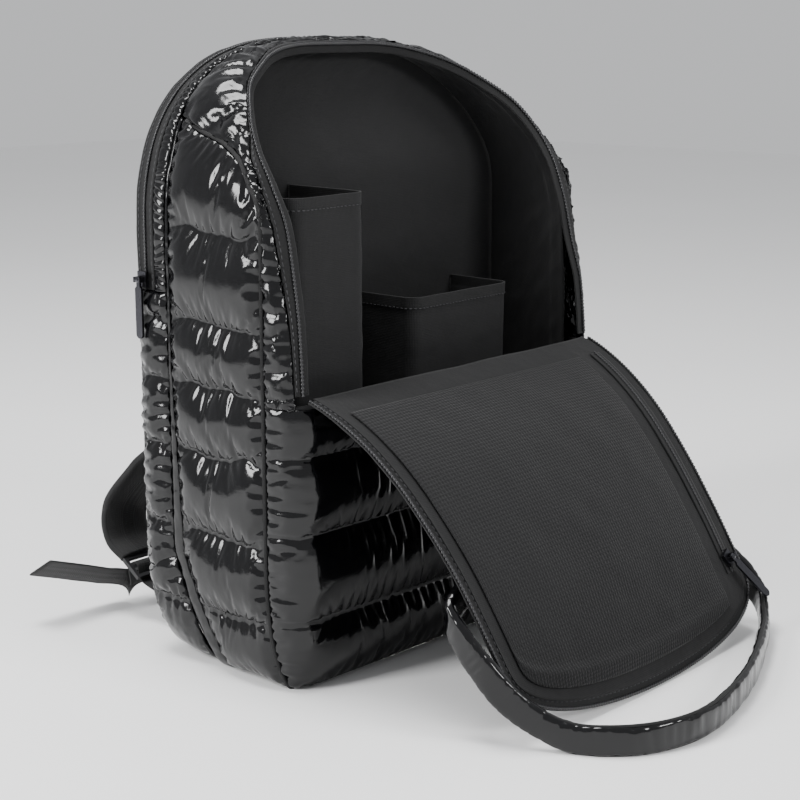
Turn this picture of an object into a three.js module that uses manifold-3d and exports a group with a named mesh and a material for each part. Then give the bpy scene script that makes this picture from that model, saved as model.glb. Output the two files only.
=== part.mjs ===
// Quilted puffer backpack, standing on its base with its front compartment unzipped and the flap folded down.
// Millimetres, +Z up, +X to the right as seen from the front, and the front faces -Y.
// The origin is the middle of the flat base. Every cloth piece is a slab between two surfaces.
import * as THREE from "three";
import { mergeVertices } from "three/addons/utils/BufferGeometryUtils.js";
import Module from "manifold-3d";

const wasm = await Module();
wasm.setup();

// Body
const BODY_WIDTH = 318;
const BODY_HEIGHT = 401;
const BODY_DEPTH = 138;
const SHOULDER_HEIGHT = 281; // where the straight sides end and the arch starts
const CROWN_HALF_WIDTH = 20; // half of the flat stretch on top
const ARCH_SQUARENESS = 2.4; // 2 is an ellipse, more is squarer
const CORNER_HEIGHT = 45; // the lower side edges round in over this height
const CORNER_REACH = 13; // how far they round in at the front
const CORNER_REAR_REACH = 34; // and at the back
const FRONT_CORNER_RADIUS = 20;
const FRONT_BOW = 3; // the front lower panel is this much fuller in its middle
const FRONT_TUCK = 7; // the front panel tucks in this much at the floor
const REAR_TUCK = 15; // the rear edge comes forward this much at the floor
const TUCK_HEIGHT = 75;

// Padding and cloth
const PUFF = 5; // a quilted channel stands this far out of its seams
const PAD = 2; // and this far inwards
const SEAM_WALL = 2; // thickness of a padded panel in its seam
const CLOTH = 1.2;
const GAP = 0.3; // between neighbouring pieces
const TOP_PUFF = 3;

// Seams, measured forwards from the rear edge
const REAR_SEAM_DEPTH = 27;
const CROWN_SEAM_DEPTH = 21;
const SEAM_SWEEP = 32; // the rear seam comes forward this much at the floor
const FRONT_SEAM_DEPTH = 113;
const FRONT_SEAM_SWEEP = 10;
const GUSSET_WIDTH = 3; // seam strip between rear strip and side panel
const GUSSET_WIDENING = 11; // more of it at the floor
const GUSSET_WIDENING_HEIGHT = 190;

// Main zip
const MAIN_ZIP_WIDTH = 16;
const MAIN_ZIP_END_HEIGHT = 243;
const COIL_HEIGHT = 1.6;
const TAPE_THICKNESS = 1;

// Front opening and its zip
const HINGE_HEIGHT = 187;
const TAPE_OUTSIDE = 9; // front zip tape outside the coil
const TAPE_INSIDE = 6; // and inside it
const TAPE_ABOVE_HINGE = 3;

// Flap
const FLAP_LENGTH = 250;
const FLAP_SIDE_MARGIN = 10; // from the body's side seam surface to the flap's root
const FLAP_NARROWING = 10; // the flap is this much narrower on each side past its root
const FLAP_NARROWING_LENGTH = 150;
const FLAP_CORNER_LENGTH = 49; // the tip's corners are rounded over this length
const FLAP_ROOT_ANGLE = 18; // degrees below level where it leaves the body
const FLAP_BEND_LENGTH = 190;
const FLAP_SWAY = 20; // the tip lies this far to the right
const FLAP_SWAY_START = 100;
const FLAP_TIP_HEIGHT = 0.4; // the middle surface at its tip, just over the floor
const FLAP_TAPE_WIDTH = 8;
const FLAP_CHANNELS = 5;
const POCKET_MARGIN = 15; // from the flap's edge to the mesh pocket
const POCKET_FULLNESS = 3;
const POCKET_ZIP_WIDTH = 10;
const POCKET_ZIP_FROM_EDGE = 12;
const POCKET_ZIP_START = 22;
const POCKET_ZIP_END = 204;
const POCKET_SLIDER_TURN = 28; // degrees that its slider has turned towards the flap's edge
const POCKET_PULLER_LIFT = 8; // degrees that its puller is lifted by the handle it lies on

// Inside
const DIVIDER_DEPTH = 47;
const DIVIDER_CROWN_DEPTH = 17;
const DIVIDER_LEAN_HEIGHT = 300;
const LINING_INSET = 8;
const SLEEVE_WALL = 1.5;
const SLEEVE_CORNER = 10;
const FLOOR_THICKNESS = 4;

// Back and straps
const BACK_THICKNESS = 6;
const BACK_FULLNESS = 4;
const STRAP_WIDTH = 56;
const STRAP_END_WIDTH = 34;
const STRAP_THICKNESS = 9;
const WEBBING_WIDTH = 25;
const WEBBING_THICKNESS = 1.5;

// Carry handle
const HANDLE_WIDTH = 19;
const HANDLE_THICKNESS = 7;
const HANDLE_SEAT = 150; // along the flap
const HANDLE_FROM_EDGE = 18;
const HANDLE_REACH = 110; // from its seats forward to the front of the loop

// Zip sliders and pullers
const SLIDER_LENGTH = 10;
const SLIDER_WIDTH = 8;
const SLIDER_HEIGHT = 2.4;
const PIN_RADIUS = 0.8;
const EYE_CLEARANCE = 0.35;
const EYE_WALL = 1;
const EYE_WIDTH = 3;
const EAR_THICKNESS = 1.2;
const PULLER_LENGTH = 38;
const PULLER_WIDTH = 6;
const PULLER_THICKNESS = 1.6;

const BUCKLE_WIDTH = 34;
const BUCKLE_THICKNESS = 3;
const BUCKLE_BAR = 3;
const BUCKLE_SLOT = 5.5;
const BUCKLE_RIM = 2.5;

const HALF_WIDTH = BODY_WIDTH / 2 - PUFF;
const FLAP_ROOT_HALF_WIDTH = HALF_WIDTH - FLAP_SIDE_MARGIN;
const FLAP_HALF_WIDTH = FLAP_ROOT_HALF_WIDTH - FLAP_NARROWING;
const EYE_RADIUS = PIN_RADIUS + EYE_CLEARANCE + EYE_WALL;
const SLIDER_TOP = COIL_HEIGHT + GAP + SLIDER_HEIGHT;
const PIN_HEIGHT = SLIDER_TOP + EYE_RADIUS + GAP; // above the tape that the slider runs on
const SHELL_TOP = BODY_HEIGHT - TOP_PUFF;
const REAR_Y = BODY_DEPTH / 2;
const FRONT_Y = REAR_Y - BODY_DEPTH;
const RIGHT_ANGLE = Math.PI / 2;

// Stations along the front outline of the body, from the floor at the left over the top to the floor at the right.
const FLOOR = 0;
const SIDE = 1;
const SHOULDER = 2;
const CROWN = 3;
const MIDDLE = 4;
const LAST = 8;

// The side panel's upper edge, from its rear end forwards: shares of BODY_DEPTH from the rear and of BODY_HEIGHT.
const SIDE_TOP_EDGE = [
  { depth: 0.19, height: 0.876 },
  { depth: 0.348, height: 0.858 },
  { depth: 0.514, height: 0.843 },
  { depth: 0.652, height: 0.818 },
  { depth: 0.725, height: 0.788 },
  { depth: 0.794, height: 0.758 },
  { depth: 0.82, height: 0.73 },
];

// The zip coil round the front opening: height as a share of BODY_HEIGHT, how far it lies in front of the rear edge
// as a share of BODY_DEPTH, and how far inside the body's outline as a share of BODY_WIDTH.
const OPENING_EDGE = [
  { height: 0.44, depth: 0.993, inset: 0.031 },
  { height: 0.565, depth: 0.964, inset: 0.035 },
  { height: 0.645, depth: 0.913, inset: 0.044 },
  { height: 0.723, depth: 0.862, inset: 0.047 },
  { height: 0.79, depth: 0.783, inset: 0.034 },
  { height: 0.843, depth: 0.681, inset: 0.018 },
  { height: 0.895, depth: 0.562, inset: 0.01 },
  { height: 0.935, depth: 0.44, inset: 0.01 },
  { height: 0.963, depth: 0.362, inset: 0.011 },
  { height: 0.983, depth: 0.275, inset: 0.01 },
  { height: 0.993, depth: 0.232, inset: 0.009 },
];

// Quilting seams as shares of BODY_HEIGHT.
const SIDE_QUILT_SEAMS = [0.105, 0.23, 0.36, 0.4675, 0.565, 0.7075];
const FRONT_QUILT_SEAMS = [0.115, 0.2525, 0.375];
const BORDER_QUILT_SEAMS = [0.4675, 0.565, 0.7075, 0.82];

// Bottle sleeves in front of the divider: shares of the inner half width, of the way from the divider to the front
// panel, and of BODY_HEIGHT.
const SLEEVES = [
  { name: "bottle_sleeve_left", left: -0.895, right: -0.44, forward: 0.79, top: 0.763 },
  { name: "bottle_sleeve_right", left: -0.03, right: 0.69, forward: 0.62, top: 0.571 },
];

// Carry handle between its two seats: shares of FLAP_HALF_WIDTH to the right, of HANDLE_REACH forwards of the seats
// and of the seats' height above the floor.
const HANDLE_ROUTE = [
  { right: -0.97, forward: 0.02, height: 0.86 },
  { right: -1.0, forward: 0.14, height: 0.7 },
  { right: -0.98, forward: 0.27, height: 0.52 },
  { right: -0.93, forward: 0.38, height: 0.34 },
  { right: -0.86, forward: 0.5, height: 0.2 },
  { right: -0.79, forward: 0.66, height: 0.1 },
  { right: -0.7, forward: 0.84, height: 0.1 },
  { right: -0.53, forward: 0.99, height: 0.1 },
  { right: -0.3, forward: 1.06, height: 0.1 },
  { right: 0.0, forward: 1.02, height: 0.1 },
  { right: 0.35, forward: 0.9, height: 0.1 },
  { right: 0.72, forward: 0.71, height: 0.1 },
  { right: 0.98, forward: 0.55, height: 0.13 },
  { right: 1.13, forward: 0.4, height: 0.26 },
  { right: 1.13, forward: 0.24, height: 0.46 },
  { right: 1.07, forward: 0.06, height: 0.68 },
];

// Left shoulder strap behind the body: shares of BODY_WIDTH to the left, BODY_DEPTH behind the rear edge, BODY_HEIGHT.
const STRAP_ROUTE = [
  { left: 0.14, behind: 0.06, height: 0.872 },
  { left: 0.145, behind: 0.17, height: 0.865 },
  { left: 0.15, behind: 0.27, height: 0.8 },
  { left: 0.155, behind: 0.34, height: 0.68 },
  { left: 0.16, behind: 0.37, height: 0.54 },
  { left: 0.175, behind: 0.385, height: 0.41 },
  { left: 0.21, behind: 0.42, height: 0.31 },
  { left: 0.285, behind: 0.53, height: 0.24 },
  { left: 0.335, behind: 0.585, height: 0.18 },
  { left: 0.345, behind: 0.545, height: 0.13 },
  { left: 0.345, behind: 0.44, height: 0.105 },
];
// The loose webbing end past the buckle, in the same shares.
const TAIL_ROUTE = [
  { left: 0.33, behind: 0.47, height: 0.05 },
  { left: 0.35, behind: 0.56, height: 0.053 },
  { left: 0.41, behind: 0.59, height: 0.066 },
  { left: 0.49, behind: 0.6, height: 0.088 },
  { left: 0.565, behind: 0.61, height: 0.108 },
];
const ANCHOR_HEIGHT = 0.06; // where the webbing leaves the back, as a share of BODY_HEIGHT

const COLOURS = {
  gloss: { color: 0x0b0b0d, roughness: 0.16, metalness: 0 },
  lining: { color: 0x1b1b1d, roughness: 0.9, metalness: 0 },
  mesh: { color: 0x232325, roughness: 0.95, metalness: 0 },
  tape: { color: 0x101012, roughness: 0.8, metalness: 0 },
  webbing: { color: 0x151517, roughness: 0.85, metalness: 0 },
  plastic: { color: 0x121214, roughness: 0.45, metalness: 0 },
  metal: { color: 0x2a2a2e, roughness: 0.35, metalness: 0.9 },
};

const point = (x, y, z) => new THREE.Vector3(x, y, z);
const { lerp, clamp, smoothstep, degToRad } = THREE.MathUtils;

/** Even samples from one value to another, both ends included. */
const samples = (from, to, steps) => Array.from({ length: steps + 1 }, (_, i) => lerp(from, to, i / steps));

/** The value of one column of a table at a key in another, along a monotone cubic through the rows. */
function readTable(rows, keyName, valueName, key) {
  const sorted = [...rows].sort((a, b) => a[keyName] - b[keyName]);
  const keys = sorted.map((row) => row[keyName]);
  const values = sorted.map((row) => row[valueName]);
  const last = keys.length - 1;
  const slope = (i) => (values[i + 1] - values[i]) / (keys[i + 1] - keys[i]);
  const tangent = (i) => {
    if (i === 0) return slope(0);
    if (i === last) return slope(last - 1);
    const [before, after] = [slope(i - 1), slope(i)];
    return before * after <= 0 ? 0 : (2 * before * after) / (before + after);
  };
  const held = clamp(key, keys[0], keys[last]);
  const row = Math.min(last - 1, Math.max(0, keys.findIndex((k) => k >= held) - 1));
  const width = keys[row + 1] - keys[row];
  const t = (held - keys[row]) / width;
  const square = t * t;
  const cube = square * t;
  return (
    (2 * cube - 3 * square + 1) * values[row] +
    (cube - 2 * square + t) * width * tangent(row) +
    (3 * square - 2 * cube) * values[row + 1] +
    (cube - square) * width * tangent(row + 1)
  );
}

/** The body's outline at a station and a depth: the point in X and Z and its outward direction. */
function outline(station, depth) {
  const side = station <= MIDDLE ? -1 : 1;
  const half = station <= MIDDLE ? station : LAST - station;
  const rearShare = smoothstep(BODY_DEPTH - depth, BODY_DEPTH * 0.55, BODY_DEPTH * 0.9);
  const reach = lerp(CORNER_REACH, CORNER_REAR_REACH, rearShare);
  let [x, z, nx, nz] = [HALF_WIDTH, lerp(CORNER_HEIGHT, SHOULDER_HEIGHT, half - SIDE), 1, 0];
  if (half < SIDE) {
    const angle = (SIDE - half) * RIGHT_ANGLE;
    x = HALF_WIDTH - reach + reach * Math.cos(angle);
    z = CORNER_HEIGHT - CORNER_HEIGHT * Math.sin(angle);
    nx = Math.cos(angle) / reach;
    nz = -Math.sin(angle) / CORNER_HEIGHT;
  } else if (half > CROWN) {
    x = CROWN_HALF_WIDTH * (MIDDLE - half);
    z = SHELL_TOP;
    [nx, nz] = [0, 1];
  } else if (half > SHOULDER) {
    const angle = (half - SHOULDER) * RIGHT_ANGLE;
    const power = 2 / ARCH_SQUARENESS;
    const [across, up] = [HALF_WIDTH - CROWN_HALF_WIDTH, SHELL_TOP - SHOULDER_HEIGHT];
    const [cosine, sine] = [Math.max(0, Math.cos(angle)), Math.sin(angle)];
    x = CROWN_HALF_WIDTH + across * cosine ** power;
    z = SHOULDER_HEIGHT + up * sine ** power;
    nx = cosine ** (2 - power) / across;
    nz = sine ** (2 - power) / up;
  }
  const size = Math.hypot(nx, nz);
  return { x: side * x, z, nx: (side * nx) / size, nz: nz / size };
}

/** The station on the left at a height above the floor. */
function stationAt(height) {
  if (height < CORNER_HEIGHT) return SIDE - Math.asin(1 - height / CORNER_HEIGHT) / RIGHT_ANGLE;
  if (height < SHOULDER_HEIGHT) return lerp(SIDE, SHOULDER, (height - CORNER_HEIGHT) / (SHOULDER_HEIGHT - CORNER_HEIGHT));
  const share = Math.min(1, (height - SHOULDER_HEIGHT) / (SHELL_TOP - SHOULDER_HEIGHT));
  return SHOULDER + Math.asin(share ** (ARCH_SQUARENESS / 2)) / RIGHT_ANGLE;
}

const heightOf = (station) => outline(station, 0).z;

/** The left half's station for one of either half. */
const mirrored = (station) => (station > MIDDLE ? LAST - station : station);

/** A point of the body's seam surface, moved inwards by an inset. */
function shellPoint(station, depth, inset = 0) {
  const at = outline(station, depth);
  return point(at.x - inset * at.nx, REAR_Y - depth, at.z - inset * at.nz);
}

/** How far a line at a height has been swept forwards near the floor. */
const tuckShare = (station) => clamp(1 - heightOf(station) / TUCK_HEIGHT, 0, 1);

const rearEdge = (station) => REAR_TUCK * tuckShare(station) ** 1.5;

/** 0 on the sides and 1 on the crown. */
const crownShare = (station) => smoothstep(heightOf(station), BODY_HEIGHT * 0.8, BODY_HEIGHT * 0.97);

const rearSeam = (station) =>
  lerp(REAR_SEAM_DEPTH, CROWN_SEAM_DEPTH, crownShare(station)) + SEAM_SWEEP * tuckShare(station);

const zipSeam = (station) => rearEdge(station) + lerp(MAIN_ZIP_WIDTH, MAIN_ZIP_WIDTH * 0.85, crownShare(station));

const gussetSeam = (station) => {
  const widening = clamp(1 - heightOf(station) / GUSSET_WIDENING_HEIGHT, 0, 1);
  return rearSeam(station) + GUSSET_WIDTH + GUSSET_WIDENING * widening;
};

const frontSeam = (station) => FRONT_SEAM_DEPTH + FRONT_SEAM_SWEEP * tuckShare(station) ** 1.5;

/** Station of the side panel's upper edge at a depth. */
const sideTop = (depth) => stationAt(BODY_HEIGHT * readTable(SIDE_TOP_EDGE, "depth", "height", depth / BODY_DEPTH));

// Where the side panel's columns meet its upper edge, from the rear to the front, as depths and stations.
const ACROSS = [0, 0.12, 0.4, 0.7, 0.9, 1];
const SIDE_TOP_POINTS = ACROSS.map((share) => {
  const top = sideTop(REAR_SEAM_DEPTH);
  const depth = lerp(gussetSeam(top), FRONT_SEAM_DEPTH, share);
  return { depth, station: sideTop(depth) };
});

// Over the gusset's end the border's seam steps back to the rear seam within this much of a station.
const STEP_OVER = 0.02;

/** Depth of the border's outer seam: the front corner, then the side panel's upper edge, then the rear seam. */
function borderSeam(station) {
  const half = mirrored(station);
  const last = SIDE_TOP_POINTS.length - 1;
  if (half <= SIDE_TOP_POINTS[last].station) return FRONT_SEAM_DEPTH;
  const row = SIDE_TOP_POINTS.findLastIndex((edge) => edge.station >= half);
  if (row < 0) return lerp(gussetSeam(half), rearSeam(half), clamp((half - SIDE_TOP_POINTS[0].station) / STEP_OVER, 0, 1));
  const [upper, lower] = [SIDE_TOP_POINTS[row], SIDE_TOP_POINTS[row + 1]];
  return lerp(upper.depth, lower.depth, (upper.station - half) / (upper.station - lower.station));
}

/** Depth and inset of the opening's zip coil at a station. */
function coilLine(station) {
  const height = heightOf(station) / BODY_HEIGHT;
  return {
    depth: BODY_DEPTH * readTable(OPENING_EDGE, "height", "depth", height),
    inset: BODY_WIDTH * readTable(OPENING_EDGE, "height", "inset", height),
  };
}

/** A point between the border's outer seam (0) and the zip coil (1); past 1 it runs straight inwards, in mm. */
function openingPoint(station, share, beyond = 0) {
  const seam = borderSeam(station);
  const coil = coilLine(station);
  const angle = share * RIGHT_ANGLE;
  const depth = seam + (coil.depth - seam) * Math.sin(angle);
  return shellPoint(station, depth, coil.inset * (1 - Math.cos(angle)) + beyond);
}

/** The share of the way from the border's seam to the coil at which the tape starts. */
function tapeShare(station) {
  const length = openingPoint(station, 0).distanceTo(openingPoint(station, 1));
  return 1 - Math.min(TAPE_OUTSIDE / length, 0.62) * 0.8;
}

/** 0 in the seams of a quilted channel and 1 in its middle. */
const channel = (t, power = 0.55) => Math.max(0, 4 * t * (1 - t)) ** power;

/** Closed solid between two grids of points, over lists of across and along values. */
function slab(acrossValues, alongValues, outer, inner) {
  const columns = acrossValues.length;
  const rows = alongValues.length;
  const positions = [];
  for (const surface of [outer, inner])
    for (const v of alongValues) for (const u of acrossValues) positions.push(...surface(u, v).toArray());
  const at = (layer, row, column) => (layer * rows + row) * columns + column;
  const indices = [];
  const quad = (a, b, c, d) => indices.push(a, b, c, a, c, d);
  for (let row = 0; row < rows - 1; row++)
    for (let column = 0; column < columns - 1; column++) {
      quad(at(0, row, column), at(0, row, column + 1), at(0, row + 1, column + 1), at(0, row + 1, column));
      quad(at(1, row, column), at(1, row + 1, column), at(1, row + 1, column + 1), at(1, row, column + 1));
    }
  for (let column = 0; column < columns - 1; column++) {
    quad(at(0, 0, column), at(1, 0, column), at(1, 0, column + 1), at(0, 0, column + 1));
    quad(at(0, rows - 1, column), at(0, rows - 1, column + 1), at(1, rows - 1, column + 1), at(1, rows - 1, column));
  }
  for (let row = 0; row < rows - 1; row++) {
    quad(at(0, row, 0), at(0, row + 1, 0), at(1, row + 1, 0), at(1, row, 0));
    quad(at(0, row, columns - 1), at(1, row, columns - 1), at(1, row + 1, columns - 1), at(0, row + 1, columns - 1));
  }
  return facingOut(closedGeometry(positions, indices));
}

function closedGeometry(positions, indices) {
  const geometry = new THREE.BufferGeometry();
  geometry.setAttribute("position", new THREE.Float32BufferAttribute(positions, 3));
  geometry.setIndex(indices);
  return geometry;
}

/** Turns a closed geometry's faces round if they point inwards. */
function facingOut(geometry) {
  const at = geometry.getAttribute("position");
  const order = geometry.index.array;
  const [a, b, c] = [point(0, 0, 0), point(0, 0, 0), point(0, 0, 0)];
  let volume = 0;
  for (let i = 0; i < order.length; i += 3) {
    a.fromBufferAttribute(at, order[i]);
    b.fromBufferAttribute(at, order[i + 1]);
    c.fromBufferAttribute(at, order[i + 2]);
    volume += a.dot(b.cross(c));
  }
  if (volume < 0)
    for (let i = 0; i < order.length; i += 3) [order[i + 1], order[i + 2]] = [order[i + 2], order[i + 1]];
  return geometry;
}

/** Unit normal of a surface of two values, turned to the side of a hint. */
function normalOf(surface, u, v, step, hint) {
  const along = surface(u, v + step).sub(surface(u, v - step));
  const across = surface(u + step, v).sub(surface(u - step, v));
  const normal = along.cross(across).normalize();
  return normal.dot(hint) < 0 ? normal.negate() : normal;
}

/** Padded slab on the body's shell: outer and inner offsets from the seam surface, along its normal. */
function shellSlab(acrossValues, alongValues, surface, outwards, inwards) {
  const hintAt = (p) => point(p.x, p.y - REAR_Y / 2, p.z - BODY_HEIGHT / 2);
  const moved = (amount, sign) => (u, v) => {
    const p = surface(u, v);
    return p.addScaledVector(normalOf(surface, u, v, 1e-3, hintAt(p)), sign * amount(u, v));
  };
  return slab(acrossValues, alongValues, moved(outwards, 1), moved(inwards, -1));
}

/** A channel's share at a station, between quilting seams given as stations. */
function channelShare(seams, station) {
  const next = seams.findIndex((seam) => seam > station);
  if (next <= 0) return 0;
  return (station - seams[next - 1]) / (seams[next] - seams[next - 1]);
}

/** Rows for a quilted panel: each seam, and three values inside each channel. */
function quiltRows(seams) {
  const rows = [];
  for (let i = 0; i < seams.length - 1; i++)
    for (const share of [0, 0.14, 0.5, 0.86]) rows.push(lerp(seams[i], seams[i + 1], share));
  return [...rows, seams[seams.length - 1]];
}

// The gap over the side panel's upper edge, as a share of the arch's quarter turn.
const SIDE_TOP_GAP = (GAP * 1.5) / ((SHELL_TOP - SHOULDER_HEIGHT) * RIGHT_ANGLE);

/** Keeps a puffed surface off the floor. */
const floorLimit = (station) => Math.min(1, heightOf(station) / 8);

// The side panel's quilting seams as stations, up to the start of its last channel, and the end of its last row.
const SIDE_SEAMS = [FLOOR, ...SIDE_QUILT_SEAMS.map((share) => stationAt(share * BODY_HEIGHT))];
const LAST_SEAM = SIDE_SEAMS[SIDE_SEAMS.length - 1];
const LAST_ROW = LAST_SEAM + 0.4;

/** Rows of the side panel and of the strips beside it, so that their edges run along the same points. */
const sideRows = () => quiltRows([...SIDE_SEAMS, LAST_ROW]);

/** The station of a row at a given upper edge: rows past the last seam spread up to that edge. */
const rowStation = (row, top) =>
  row <= LAST_SEAM ? row : lerp(LAST_SEAM, top, (row - LAST_SEAM) / (LAST_ROW - LAST_SEAM));

/** One side panel; side is 0 for the left and 1 for the right. */
function sidePanel(side) {
  const seams = [...SIDE_SEAMS, LAST_ROW];
  const place = (share, row) => {
    const level = rowStation(clamp(row, FLOOR, LAST_ROW), sideTop(REAR_SEAM_DEPTH));
    const depth = lerp(gussetSeam(level) + GAP / 2, frontSeam(level) - GAP / 2, share);
    return { station: rowStation(row, sideTop(depth) - SIDE_TOP_GAP), depth };
  };
  const surface = (share, row) => {
    const { station, depth } = place(share, row);
    return shellPoint(side ? LAST - station : station, depth);
  };
  const puff = (share, row) => {
    const { station } = place(share, row);
    return PUFF * channel(channelShare(seams, row)) * channel(share, 0.35) * floorLimit(station);
  };
  const pad = (share, row) => SEAM_WALL + PAD * channel(channelShare(seams, row)) * channel(share, 0.35);
  return shellSlab(ACROSS, sideRows(), surface, puff, pad);
}

/** Strip of the shell over a list of stations, between two lines of depth, with its own puff. */
function shellStrip({ steps: stations, rear, front, across, outwards, inwards }) {
  const surface = (share, station) => {
    const depth = lerp(rear(station) + GAP / 2, front(station) - GAP / 2, share);
    return shellPoint(station, depth);
  };
  return shellSlab(across, stations, surface, outwards, inwards);
}

/** Rear strip under the main zip's end, quilted at the side panel's seams. */
function rearStrip(side) {
  const top = stationAt(MAIN_ZIP_END_HEIGHT);
  const seams = [...SIDE_SEAMS.filter((seam) => seam < top), top];
  const stations = [...sideRows().filter((row) => row < top - 0.02), top];
  return shellStrip({
    steps: side ? stations.map((station) => LAST - station) : stations,
    rear: (station) => rearEdge(mirrored(station)),
    front: (station) => rearSeam(mirrored(station)),
    across: [0, 0.5, 1],
    outwards: (share, station) =>
      PUFF * 0.8 * channel(channelShare(seams, mirrored(station))) * channel(share, 0.5) * floorLimit(station),
    inwards: () => SEAM_WALL,
  });
}

/** Seam strip between the rear strip and the side panel. */
function sideGusset(side) {
  const top = sideTop(REAR_SEAM_DEPTH) - SIDE_TOP_GAP;
  const stations = sideRows().map((row) => rowStation(row, top));
  return shellStrip({
    steps: side ? stations.map((station) => LAST - station) : stations,
    rear: (station) => rearSeam(mirrored(station)),
    front: (station) => gussetSeam(mirrored(station)),
    across: [0, 1],
    outwards: () => 0,
    inwards: () => SEAM_WALL,
  });
}

/** Stations over the arch from a height on the left to the same height on the right. */
function archStations(height, sideSteps, archSteps) {
  const start = stationAt(height);
  const left = [
    ...samples(start, SHOULDER, sideSteps),
    ...samples(SHOULDER, CROWN, archSteps).slice(1),
    ...samples(CROWN, MIDDLE, 2).slice(1),
  ];
  return [...left, ...left.slice(0, -1).reverse().map((station) => LAST - station)];
}

function ruchedStrip() {
  return shellStrip({
    steps: archStations(MAIN_ZIP_END_HEIGHT + GAP, 3, 11),
    rear: zipSeam,
    front: rearSeam,
    across: [0, 0.5, 1],
    outwards: (share) => 2.2 * channel(share),
    inwards: () => SEAM_WALL,
  });
}

/** Zip tape with its closed coil standing out in the middle. */
function mainZip() {
  const ridge = (share) => (Math.abs(share - 0.5) < 0.15 ? COIL_HEIGHT : 0);
  return shellStrip({
    steps: archStations(MAIN_ZIP_END_HEIGHT + GAP, 3, 11),
    rear: rearEdge,
    front: zipSeam,
    across: [0, 0.42, 0.58, 1],
    outwards: (share) => ridge(share),
    inwards: () => TAPE_THICKNESS,
  });
}

/** Puffed border between the side panel, the rear seam and the front opening, gathered at its quilting seams. */
function frontBorder() {
  const start = HINGE_HEIGHT - SEAM_WALL - GAP * 7;
  const topPoints = SIDE_TOP_POINTS.map((edge) => edge.station);
  const left = [
    ...samples(stationAt(start), SHOULDER, 8).slice(0, -1),
    ...topPoints.slice().reverse(),
    ...samples(topPoints[0] + STEP_OVER, CROWN, 6),
    MIDDLE,
  ];
  const stations = [...left, ...left.slice(0, -1).reverse().map((station) => LAST - station)];
  const seams = BORDER_QUILT_SEAMS.map((share) => stationAt(share * BODY_HEIGHT));
  const bounds = [stationAt(start), ...seams, MIDDLE];
  const surface = (share, station) => {
    const seamGap = GAP / 2 / (openingPoint(station, 0).distanceTo(openingPoint(station, 1)) + 1);
    return openingPoint(station, lerp(seamGap * 2, tapeShare(station) - seamGap * 2, share));
  };
  const fullness = (station) => {
    const half = mirrored(station);
    const size = openingPoint(station, 0).distanceTo(openingPoint(station, 1));
    const pinch = half > bounds[bounds.length - 2] ? 1 : 0.55 + 0.45 * channel(channelShare(bounds, half));
    return pinch * clamp(size / 30, 0.25, 1);
  };
  const puff = (share, station) => PUFF * 0.6 * channel(share) * fullness(station);
  return shellSlab([0, 0.15, 0.5, 0.85, 1], stations, surface, puff, () => SEAM_WALL);
}

/** Zip tape round the opening, with the coil near its inner edge. */
function openingTape() {
  const stations = archStations(HINGE_HEIGHT + TAPE_ABOVE_HINGE, 5, 11);
  const surface = (share, station) => {
    if (share > 1) return openingPoint(station, 1, (share - 1) * TAPE_INSIDE);
    const start = tapeShare(station) + 0.05;
    return openingPoint(station, lerp(start, 1, share));
  };
  const ridge = (share) => (share > 0.8 && share < 1.2 ? COIL_HEIGHT : 0);
  return shellSlab([0, 0.85, 1.15, 2], stations, surface, ridge, () => TAPE_THICKNESS);
}

/** Front lower panel: from one corner seam round the front to the other, in quilted channels down to the floor. */
function frontPanel() {
  const top = stationAt(HINGE_HEIGHT - SEAM_WALL - GAP * 9);
  const seams = [FLOOR, ...FRONT_QUILT_SEAMS.map((share) => stationAt(share * BODY_HEIGHT)), top];
  const cornerShare = 0.8;
  const surface = (share, row) => {
    const seamDepth = frontSeam(row) + GAP / 2;
    const edge = shellPoint(row, seamDepth);
    const half = Math.abs(edge.x);
    const frontY = FRONT_Y + FRONT_TUCK * tuckShare(row) ** 3;
    const flat = half - FRONT_CORNER_RADIUS;
    const side = Math.sign(share);
    const size = Math.abs(share);
    if (size <= cornerShare) {
      const along = size / cornerShare;
      return point(side * flat * along, frontY - FRONT_BOW * (1 - along * along), edge.z);
    }
    const angle = ((size - cornerShare) / (1 - cornerShare)) * RIGHT_ANGLE;
    const y = frontY + (edge.y - frontY) * (1 - Math.cos(angle));
    return point(side * (flat + FRONT_CORNER_RADIUS * Math.sin(angle)), y, edge.z);
  };
  const half = [0, 0.25, 0.5, 0.74, 0.86, 0.93, 1];
  const across = [...half.slice(1).reverse().map((share) => -share), ...half];
  const puff = (share, row) =>
    (PUFF - 1) * channel(channelShare(seams, row)) * (1 - Math.abs(share) ** 8) * floorLimit(row);
  return shellSlab(across, quiltRows(seams), surface, puff, () => SEAM_WALL);
}

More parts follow.
